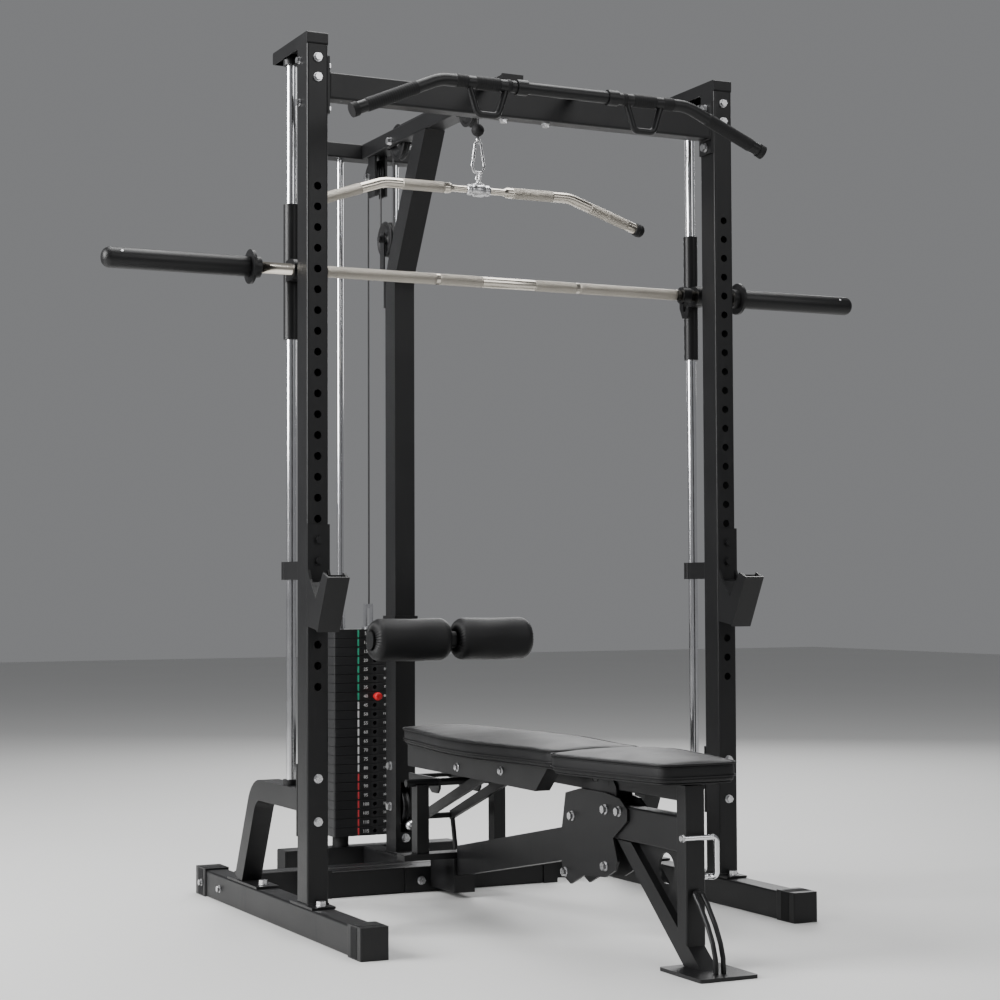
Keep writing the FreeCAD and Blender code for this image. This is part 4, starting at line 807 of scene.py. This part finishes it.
class RACK_OT_snap_link(bpy.types.Operator):
    """Make the snap link, the swivel eye and the rubber cable stop"""
    bl_idname = "rack.snap_link"
    bl_label = "Snap link"

    def execute(self, context):
        low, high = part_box("snap_link")
        x, y = 0.0, (low.y + high.y) / 2
        eye_z = low.z + 0.0187
        stop_low, stop_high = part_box("cable_stop")
        top = stop_low.z - 0.013
        base = eye_z + 0.0135
        points = [(0.0, y, base), (0.012, y, base + 0.001), (0.0175, y, base + 0.018),
                  (0.0085, y, top - 0.006), (0.0, y, top)]
        right = smooth_path(points, 0.006, 0.0015)
        left = right * (-1, 1, 1)
        loop = np.concatenate([right, left[::-1][1:-1]])
        link = closed_tube("link", loop, 0.0036, (0, 1, 0), 14)
        height = top - base
        gate = revolve("gate", [(0, 0.0), (0, 0.0046), (0.012, 0.0050), (0.014, 0.0044), (0.030, 0.0044),
                                (0.032, 0.0050), (0.036, 0.0050), (0.036, 0.0)],
                       (-0.0150, y, base + height * 0.34), (0.16, 0, 1), 24)
        shank = [(0, 0.0), (0, 0.0060), (0.004, 0.0068), (0.008, 0.0068), (0.010, 0.0050), (0.0125, 0.0050),
                 (0.0125, 0.0)]
        fitting = revolve("shank", shank, (0, y, top - 0.001), (0, 0, 1), 32)
        theta = np.arange(48) / 48 * TAU
        eye_path = np.stack([0 * theta, y + 0.0105 * np.cos(theta), eye_z + 0.0105 * np.sin(theta)], axis=1)
        eye = closed_tube("eye", eye_path, 0.0036, (1, 0, 0), 16)
        stem = [(0, 0.0), (0, 0.012), (0.0022, 0.0125), (0.004, 0.0088), (0.0065, 0.0088), (0.0075, 0.0060),
                (0.0095, 0.0050), (0.0095, 0.0)]
        stand = revolve("stem", stem, (0, y, low.z), (0, 0, 1), 32)
        pieces = [coat(piece, "hardware_zinc") for piece in (link, gate, fitting, eye, stand)]
        made = join("snap_link_and_eye", pieces)
        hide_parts("snap_link")
        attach(made, "lat_hanger")
        radius = (stop_high.z - stop_low.z) / 2
        arc = np.linspace(-math.pi / 2, math.pi / 2, 24)
        swollen = np.where(np.abs(arc) > 0.12, radius, radius * 1.02)
        profile = np.stack([radius * np.sin(arc), swollen * np.cos(arc)], axis=1)
        ball = revolve("cable_stop_ball", profile, ((stop_low + stop_high) / 2), (0, 0, 1), 48)
        coat(ball, "rubber_black")
        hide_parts("cable_stop")
        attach(ball, "lat_hanger")
        return {"FINISHED"}


class RACK_OT_guided_bar(bpy.types.Operator):
    """Make the guided bar's knurled shaft and its plate sleeves"""
    bl_idname = "rack.guided_bar"
    bl_label = "Guided bar"

    def execute(self, context):
        low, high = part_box("guided_shaft")
        y, z, reach = (low.y + high.y) / 2, (low.z + high.z) / 2, high.x
        radius = (high.z - low.z) / 2
        profile = np.array([(-reach, 0.0), (-reach, radius), (reach, radius), (reach, 0.0)])
        pieces = [coat(revolve("shaft", profile, (0, y, z), (1, 0, 0), 48), "grip_chrome")]
        for first, last in ((-0.50, -0.205), (-0.195, -0.075), (0.075, 0.195), (0.205, 0.50)):
            x = np.linspace(first, last, 40)
            path = np.stack([x, np.full(40, y), np.full(40, z)], axis=1)
            band = sweep("knurl_band", path, radius + 0.00035 * np.minimum(from_ends(40), 1), (0, 1, 0), 48)
            pieces.append(coat(band, "grip_chrome", "knurl"))
        shaft = join("guided_bar_shaft", pieces)
        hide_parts("guided_shaft")
        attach(shaft, "guided_bar")
        low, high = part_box("bar_sleeves")
        sleeve_r = (high.z - low.z) / 2
        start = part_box("bar_fittings")[1].x + 0.0003
        made = []
        for side in SIDES:
            bend = 0.020
            arc = np.linspace(0, math.pi / 2, 10)
            profile = [(start, 0.0), (start, sleeve_r - 0.001), (start + 0.002, sleeve_r)]
            profile += [(high.x + bend * (math.sin(a) - 1), sleeve_r + bend * (math.cos(a) - 1)) for a in arc]
            profile += [(high.x, 0.0)]
            profile = [(side * a, b) for a, b in profile]
            made.append(coat(revolve("sleeve", profile, (0, y, z), (1, 0, 0), 64), "sleeve_paint"))
            for turn in range(2):
                angle = math.radians(35 + 180 * turn)
                out = np.array([0, -math.cos(angle), math.sin(angle)])
                spot = np.array([side * (high.x - 0.045), y, z]) + out * sleeve_r
                screw = [(-0.002, 0.0), (-0.002, 0.0034), (0.0002, 0.0034), (0.0008, 0.0026), (0.0008, 0.0)]
                made.append(coat(revolve("set_screw", screw, spot, out, 16), "hardware_zinc"))
        sleeves = join("plate_sleeves", made)
        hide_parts("bar_sleeves")
        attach(sleeves, "guided_bar")
        return {"FINISHED"}


def grooved_wheel(name, centre, radius, width):
    """Pulley about X: rim with a round groove, thin dished web with a raised hub, as one closed profile."""
    half = width / 2
    groove_r = 0.0032
    arc = np.linspace(-math.pi / 2, math.pi / 2, 9)
    groove = [(groove_r * math.sin(a), radius - 0.004 - groove_r * math.cos(a) + 0.0008) for a in arc]
    one = [(-0.0085, 0.0062), (-0.0085, 0.0125), (-0.0070, 0.0145), (-0.0045, 0.0160),
           (-0.0040, radius - 0.013), (-half + 0.0015, radius - 0.0095), (-half, radius - 0.008),
           (-half, radius - 0.001), (-half + 0.0012, radius)]
    other = [(-a, b) for a, b in reversed(one)]
    loop = np.array(one + groove + other)
    closed = np.concatenate([loop, loop[:1]])
    return revolve(name, closed, centre, (1, 0, 0), 72)


def bearing(centre):
    """Bearing race between a wheel's hub and its axle, both faces."""
    profile = [(-0.0092, 0.0061), (-0.0092, 0.0108), (-0.0086, 0.0116), (0.0086, 0.0116), (0.0092, 0.0108),
               (0.0092, 0.0061), (-0.0092, 0.0061)]
    return revolve("race", profile, centre, (1, 0, 0), 40)


class RACK_OT_pulleys(bpy.types.Operator):
    """Make the five cable pulleys"""
    bl_idname = "rack.pulleys"
    bl_label = "Pulleys"

    def execute(self, context):
        for word in ("front", "rear", "hanging", "low", "floating"):
            low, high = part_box("pulley_" + word)
            centre = (low + high) / 2
            wheel = coat(grooved_wheel("wheel", centre, (high.z - low.z) / 2, high.x - low.x),
                         "plastic_black")
            race = coat(bearing(centre), "hardware_zinc")
            spots = []
            for step in range(6):
                angle = step / 6 * TAU
                spot = (centre.x, centre.y + 0.026 * math.cos(angle), centre.z + 0.026 * math.sin(angle))
                boss = [(-0.0052, 0.0), (-0.0052, 0.0052), (-0.0046, 0.0062)]
                boss += [(-along, r) for along, r in reversed(boss)]
                spots.append(coat(revolve("boss", boss, spot, (1, 0, 0), 20), "plastic_black"))
            made = join("cable_wheel_" + word, [wheel, race] + spots)
            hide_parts("pulley_" + word)
            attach(made, "wheel_" + word)
        return {"FINISHED"}


def straight_run(name, top, bottom, radius):
    """Cable run between two points, cut into many short rings."""
    path = np.linspace(bottom, top, 90)
    return coat(sweep(name, path, radius, (1, 0, 0), 10), "cable_jacket")


class RACK_OT_cables(bpy.types.Operator):
    """Make the straight cable runs of the lat drop, the stack drop, the floating pulley and the low pulley"""
    bl_idname = "rack.cables"
    bl_label = "Cables"

    def execute(self, context):
        radius = context.scene.rack_sizes.cable / 2
        runs = (("cable_front_drop", "rack", "lat_hanger", "lat_cable"),
                ("cable_stack_drop", "rack", "stack", "stack_cable"))
        for node, fixed, moving, name in runs:
            low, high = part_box(node)
            x, y = (low.x + high.x) / 2, (low.y + high.y) / 2
            run = straight_run(name, (x, y, high.z), (x, y, low.z), radius)
            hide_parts(node)
            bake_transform(run)
        low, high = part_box("cable_strands")
        for word, y in (("front", low.y + radius), ("rear", high.y - radius)):
            run = straight_run("float_cable_" + word, (0, y, high.z), (0, y, low.z), radius)
            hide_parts("cable_strands")
            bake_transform(run)
        low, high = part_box("cable_low_drop")
        foot, head = (0, low.y + radius, low.z), (0, high.y - radius, high.z)
        run = straight_run("low_cable", head, foot, radius)
        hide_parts("cable_low_drop")
        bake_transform(run)
        return {"FINISHED"}


LABEL_FRONT = 0.0004


def label_strip(name, x0, x1, middle, half, front):
    """Thin decal on a plate's front: a rounded rectangle drawn forward by its thickness."""
    loop = rounded_loop(x1 - x0, 2 * half, 0.0015, 24)
    depth = np.array([0.0, LABEL_FRONT * 0.8, LABEL_FRONT, LABEL_FRONT])
    share = np.array([1.0, 1.0, 0.97, 0.0])
    flat = loop[None] * share[:, None, None]
    y = np.broadcast_to(front - depth[:, None], flat.shape[:2])
    points = np.stack([flat[..., 0] + (x0 + x1) / 2, y, flat[..., 1] + middle], axis=-1)
    return grid_object(name, points, wrap_columns=True)


def number_mesh(text, x, middle, height, front):
    """Weight number in plain figures, set on the decal."""
    curve = bpy.data.curves.new("figures", "FONT")
    curve.body = text
    curve.size = height
    curve.extrude = 0.00012
    curve.align_x = "CENTER"
    curve.align_y = "CENTER"
    curve.resolution_u = 2
    holder = bpy.data.objects.new("figures", curve)
    bpy.context.scene.collection.objects.link(holder)
    bpy.context.view_layer.update()
    mesh = bpy.data.meshes.new_from_object(holder.evaluated_get(bpy.context.evaluated_depsgraph_get()))
    bpy.data.objects.remove(holder)
    upright = Matrix.Rotation(math.pi / 2, 4, "X")
    mesh.transform(Matrix.Translation((x, front - LABEL_FRONT - 0.0001, middle)) @ upright)
    piece = bpy.data.objects.new("figures", mesh)
    bpy.context.scene.collection.objects.link(piece)
    return piece


class RACK_OT_labels(bpy.types.Operator):
    """Mark every weight plate with a coloured line and its number"""
    bl_idname = "rack.labels"
    bl_label = "Plate labels"

    def execute(self, context):
        low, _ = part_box("plates_resting")
        _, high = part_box("plates_lifted")
        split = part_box("plates_lifted")[0].z
        front = low.y
        rows = 23
        pitch = (high.z - low.z + 0.001) / rows
        groups = {"stack": [], "rack": []}
        for row in range(rows):
            middle = high.z - (row + 0.5) * pitch + 0.0005
            group = groups["stack" if middle > split else "rack"]
            ink = "ink_green" if row < 8 else "ink_white" if row < 16 else "ink_red"
            tick = label_strip("tick", -0.0545, -0.0495, middle, 0.0105, front)
            group.append(coat(tick, "plate_iron", ink))
            for x0, x1 in ((-0.047, -0.010), (0.010, 0.050)):
                decal = label_strip("decal", x0, x1, middle, 0.0108, front)
                group.append(coat(decal, "plastic_black"))
            weight = 5 * (row + 1)
            for number, x, height in ((weight, -0.029, 0.0135), (round(weight * 2.2046), 0.033, 0.0095)):
                figures = number_mesh("%d" % number, x, middle, height, front)
                group.append(coat(figures, "plate_iron", "ink_white"))
        for body, pieces in groups.items():
            made = join("plate_labels_" + ("lifted" if body == "stack" else "resting"), pieces)
            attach(made, body)
        return {"FINISHED"}


class RACK_OT_selector(bpy.types.Operator):
    """Make the selector pin with its ribbed red knob"""
    bl_idname = "rack.selector"
    bl_label = "Selector pin"

    def execute(self, context):
        low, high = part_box("selector_pin")
        centre = (low + high) / 2
        knob = 0.030
        ribs = 16
        profile = np.array([(0.0, 0.0), (0.0, 0.0072), (0.0012, 0.0098), (0.004, 0.0116), (0.010, 0.0120),
                            (0.018, 0.0112), (0.024, 0.0086), (0.027, 0.0078), (0.030, 0.0078), (0.030, 0.0)])
        angle = np.arange(96) / 96 * TAU
        rib = 1 - 0.05 * (np.cos(ribs * angle)[None] > 0.3) * ((profile[:, 1] > 0.009)[:, None])
        r = np.maximum(profile[:, 1:], 1e-5) * rib
        points = np.stack([centre.x + r * np.cos(angle), np.broadcast_to(low.y + profile[:, :1], r.shape),
                           centre.z + r * np.sin(angle)], axis=-1)
        handle = coat(grid_object("knob", points, wrap_columns=True), "knob_red")
        shaft = [(knob - 0.001, 0.0), (knob - 0.001, 0.0048), (high.y - low.y - 0.003, 0.0048),
                 (high.y - low.y, 0.0020), (high.y - low.y, 0.0)]
        rod = coat(revolve("pin_rod", shaft, (centre.x, low.y, centre.z), (0, 1, 0), 24), "chrome_rod")
        made = join("selector_pin_dressed", [handle, rod])
        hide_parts("selector_pin")
        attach(made, "pin")
        return {"FINISHED"}


def plug(name, centre, axis, width, height):
    """Plastic insert that closes a tube's end: a rounded rectangle, domed outwards."""
    loop = rounded_loop(width, height, 0.006, 48)
    share = np.array([0.88, 0.88, 1.0, 1.0, 0.97, 0.90, 0.6, 0.001])
    depth = np.array([-0.010, 0.0002, 0.0002, 0.0022, 0.0036, 0.0042, 0.0046, 0.0048])
    flat = loop[None] * share[:, None, None]
    along = np.asarray(axis, float)
    up = np.array([0.0, 0.0, 1.0])
    across = np.cross(up, along)
    points = (np.asarray(centre, float) + flat[..., :1] * across + flat[..., 1:] * up
              + depth[:, None, None] * along)
    return coat(grid_object(name, points, wrap_columns=True), "plastic_black")


class RACK_OT_plugs(bpy.types.Operator):
    """Close the open tube ends with plastic inserts"""
    bl_idname = "rack.plugs"
    bl_label = "Tube plugs"

    def execute(self, context):
        low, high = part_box("back_frame")
        ends = [plug("plug", (side * 0.070, high.y, 0.371), (0, 1, 0), 0.040, 0.058) for side in SIDES]
        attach(join("backrest_tube_plugs", ends), "backrest")
        low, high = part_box("seat_frame")
        front = plug("seat_tube_plug", (0, low.y, 0.380), (0, -1, 0), 0.036, 0.040)
        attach(front, "seat")
        heads = [bolt_head("head", (side * high_x, y, z), (side, 0, 0), 0.011)
                 for side in SIDES for high_x, y, z in ((0.090, 0.148, 0.362), (0.090, -0.110, 0.372))]
        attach(join("backrest_bolt_heads", heads), "backrest")
        return {"FINISHED"}


def bolt_head(name, centre, axis, radius):
    """Domed hexagon head on its washer: a turned profile whose outer edge follows a hexagon.

    The hexagon's distance at an angle is the flat's distance over the cosine of the angle from its middle."""
    profile = np.array([(0.0, 0.0), (0.0, 1.0), (0.0012, 1.0), (0.0018, 0.96), (0.0018, 0.78), (0.0062, 0.78),
                        (0.0074, 0.66), (0.0080, 0.40), (0.0082, 0.0)])
    angle = np.arange(72) / 72 * TAU
    flat = np.cos(math.pi / 6) / np.cos((angle % (math.pi / 3)) - math.pi / 6)
    shape = np.where((profile[:, 0] > 0.0017)[:, None], flat[None], 1.0)
    r = np.maximum(profile[:, 1:] * radius, 1e-5) * shape
    turn = np.array(Vector((1, 0, 0)).rotation_difference(Vector(axis)).to_matrix())
    along = np.broadcast_to(profile[:, :1], r.shape)
    points = np.stack([along, r * np.cos(angle), r * np.sin(angle)], axis=-1)
    made = grid_object(name, points @ turn.T + np.asarray(centre, float), wrap_columns=True, smooth=False)
    return coat(made, "hardware_zinc")


def weld_bead(name, centre, size, axis, radius=0.0026):
    """Weld bead round a tube's foot: a thin ring along a rounded rectangle with a ripple every 3 mm."""
    along = np.asarray(axis, float)
    first = np.array([0.0, 1.0, 0.0]) if abs(along[0]) > 0.5 else np.array([1.0, 0.0, 0.0])
    second = np.cross(along, first)
    even, place = even_loop(rounded_loop(size[0], size[1], 0.006, 360), 360)
    ripple = radius * (1 + 0.18 * np.abs(np.sin(place / 0.003 * math.pi)))
    base = np.asarray(centre, float) + even[:, :1] * first + even[:, 1:] * second
    return coat(closed_tube(name, base, ripple, along, 8), "frame_paint")


class RACK_OT_welds(bpy.types.Operator):
    """Lay weld beads where the frame's tubes stand on their plates"""
    bl_idname = "rack.welds"
    bl_label = "Weld beads"

    def execute(self, context):
        low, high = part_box("uprights")
        tube_w = 0.054
        span = high.x - tube_w / 2
        seams = [((side * span, (low.y + high.y) / 2, low.z + 0.001), (tube_w, high.y - low.y), (0, 0, 1))
                 for side in SIDES]
        low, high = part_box("column")
        seams.append(((0, high.y - 0.035, low.z + 0.001), (high.x - low.x, 0.070), (0, 0, 1)))
        for node, rise, less in (("top_crossmember", 0, 0), ("rear_crossmember", 0.002, 0.006)):
            low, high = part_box(node)
            middle = (low + high) / 2
            seams += [((side * (high.x - 0.001), middle.y, middle.z + rise),
                       (high.y - low.y, high.z - low.z - less), (side, 0, 0)) for side in SIDES]
        made = [weld_bead("bead", *seam) for seam in seams]
        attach(join("frame_weld_beads", made), "rack")
        return {"FINISHED"}


def ribbed_cuff(name, side_x, y0, y1, half, top):
    """Ribbed cuff over a rail's end cap: a sheet over both sides and the top whose relief is a row of ribs.

    Across the rail the sheet follows up, over and down; along the rail its height is the sine's
    positive part, so that ribs stand up between flat lands."""
    corner = 0.005
    foot = 0.003
    outline = smooth_path([(-half, 0, foot), (-half, 0, top), (half, 0, top), (half, 0, foot)], corner, 0.003)
    direction = np.gradient(outline, axis=0)
    direction /= np.linalg.norm(direction, axis=1, keepdims=True)
    out = np.stack([-direction[:, 2], np.zeros(len(direction)), direction[:, 0]], axis=1)
    y = np.linspace(y0, y1, 97)
    relief = 0.0002 + 0.0011 * np.clip(np.sin(np.linspace(0, 8 * TAU, 97)), 0, 1) ** 0.5
    relief[[0, -1]] = -0.001
    points = outline[None] + out[None] * relief[:, None, None]
    points[..., 0] += side_x
    points[..., 1] = y[:, None]
    return coat(grid_object(name, points), "plastic_black")


class RACK_OT_cap_ribs(bpy.types.Operator):
    """Rib the end caps of the floor rails"""
    bl_idname = "rack.cap_ribs"
    bl_label = "Cap ribs"

    def execute(self, context):
        low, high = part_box("base_caps")
        half = 0.0343
        x = high.x - half
        made = []
        for side in SIDES:
            made.append(ribbed_cuff("cuff", side * x, low.y + 0.024, low.y + 0.060, half, high.z))
            made.append(ribbed_cuff("cuff", side * x, high.y - 0.060, high.y - 0.024, half, high.z))
        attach(join("rail_cap_ribs", made), "rack")
        return {"FINISHED"}


class RACK_OT_bar_grips(bpy.types.Operator):
    """Slide textured grips on the pull-up bar"""
    bl_idname = "rack.bar_grips"
    bl_label = "Pull-up grips"

    def execute(self, context):
        low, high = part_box("pull_up_bar")
        y = (low.y + high.y) / 2
        r = (high.y - low.y) / 2
        level = high.z - r
        end = np.array([high.x - 0.0055, y, low.z + 0.0135])
        path = smooth_path([end * (-1, 1, 1), (-0.338, y, level), (0.338, y, level), end], 0.110, 0.0015)
        made = []
        for side in SIDES:
            for first, last in ((0.152, 0.166), (0.182, 0.248), (0.268, 0.300), (0.398, 0.530)):
                chosen = path[(path[:, 0] * side > first) & (path[:, 0] * side < last)]
                count = len(chosen)
                edge = from_ends(count)
                groove = 0.0003 * np.cos(np.arange(count) * 0.0015 / 0.006 * TAU)
                radius = r + 0.0003 + 0.0011 * np.minimum(edge / 2, 1) + groove * (edge > 2)
                made.append(coat(sweep("grip", chosen, radius, (0, 1, 0), 40), "rubber_black"))
        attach(join("pull_up_grips", made), "rack")
        return {"FINISHED"}


CAMERA_PLACE = (-2.3595, -4.7635, 0.8252)
CAMERA_RIGHT = Vector((0.89883, -0.43829, -0.00405))
CAMERA_UP = Vector((-0.01476, -0.03951, 0.99911))
CAMERA_LENS = 75.03


class RACK_OT_stage(bpy.types.Operator):
    """Lay the pale floor, place the soft lights and set the camera"""
    bl_idname = "rack.stage"
    bl_label = "Stage"

    def execute(self, context):
        across, along = np.meshgrid(np.linspace(-14, 14, 9), np.linspace(-9, 19, 9), indexing="ij")
        floor = grid_object("studio_floor", np.stack([across, along, 0 * across], axis=-1))
        if floor.data.polygons[0].normal.z < 0:
            floor.data.flip_normals()
        colour = tuple(context.scene.rack_colours.floor)
        floor.data.materials.append(floor_finish("studio_floor_finish", colour))
        world = bpy.data.worlds.new("studio")
        world.use_nodes = True
        world.node_tree.nodes["Background"].inputs["Color"].default_value = (0.80, 0.81, 0.83, 1)
        world.node_tree.nodes["Background"].inputs["Strength"].default_value = 0.26
        context.scene.world = world
        target = Vector((0.0, 0.0, 1.0))
        lights = (("side_light", (-4.6, 0.4, 2.9), 3.0, 430.0), ("front_light", (1.6, -4.8, 3.8), 3.0, 70.0),
                  ("top_light", (0.4, 0.6, 4.8), 3.4, 190.0), ("back_light", (2.8, 4.2, 3.0), 2.6, 110.0))
        for name, place, size, power in lights:
            lamp = bpy.data.lights.new(name, "AREA")
            lamp.size = size
            lamp.energy = power
            holder = bpy.data.objects.new(name, lamp)
            holder.location = place
            holder.rotation_euler = (target - Vector(place)).to_track_quat("-Z", "Y").to_euler()
            context.scene.collection.objects.link(holder)
        camera = bpy.data.cameras.new("camera")
        camera.sensor_width = 36.0
        camera.lens = CAMERA_LENS
        holder = bpy.data.objects.new("camera", camera)
        basis = Matrix((CAMERA_RIGHT, CAMERA_UP, CAMERA_RIGHT.cross(CAMERA_UP))).transposed().to_4x4()
        holder.matrix_world = Matrix.Translation(CAMERA_PLACE) @ basis
        context.scene.collection.objects.link(holder)
        context.scene.camera = holder
        return {"FINISHED"}


class RACK_PT_panel(bpy.types.Panel):
    """Lists what dresses the rack"""
    bl_label = "Pulldown Rack"
    bl_idname = "RACK_PT_panel"
    bl_space_type = "VIEW_3D"
    bl_region_type = "UI"
    bl_category = "Pulldown Rack"

    def draw(self, context):
        layout = self.layout
        for group in (context.scene.rack_colours, context.scene.rack_sizes):
            for name in group.bl_rna.properties.keys():
                if name not in ("rna_type", "name"):
                    layout.prop(group, name)
        for operator in OPERATORS:
            layout.operator(operator.bl_idname)


OPERATORS = (RACK_OT_finishes, RACK_OT_stage, RACK_OT_pads, RACK_OT_rollers, RACK_OT_lat_bar,
             RACK_OT_snap_link, RACK_OT_guided_bar, RACK_OT_pulleys, RACK_OT_cables, RACK_OT_labels,
             RACK_OT_selector, RACK_OT_plugs, RACK_OT_welds, RACK_OT_cap_ribs, RACK_OT_bar_grips)
CLASSES = (RackColours, RackSizes) + OPERATORS + (RACK_PT_panel,)


def register():
    for cls in CLASSES:
        bpy.utils.register_class(cls)
    bpy.types.Scene.rack_colours = PointerProperty(type=RackColours)
    bpy.types.Scene.rack_sizes = PointerProperty(type=RackSizes)


def unregister():
    del bpy.types.Scene.rack_sizes
    del bpy.types.Scene.rack_colours
    for cls in reversed(CLASSES):
        bpy.utils.unregister_class(cls)


def main():
    """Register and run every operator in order."""
    register()
    for operator in OPERATORS:
        group, name = operator.bl_idname.split(".")
        if getattr(getattr(bpy.ops, group), name)() != {"FINISHED"}:
            raise RuntimeError(operator.bl_label + " did not finish")


if __name__ == "__main__":
    main()
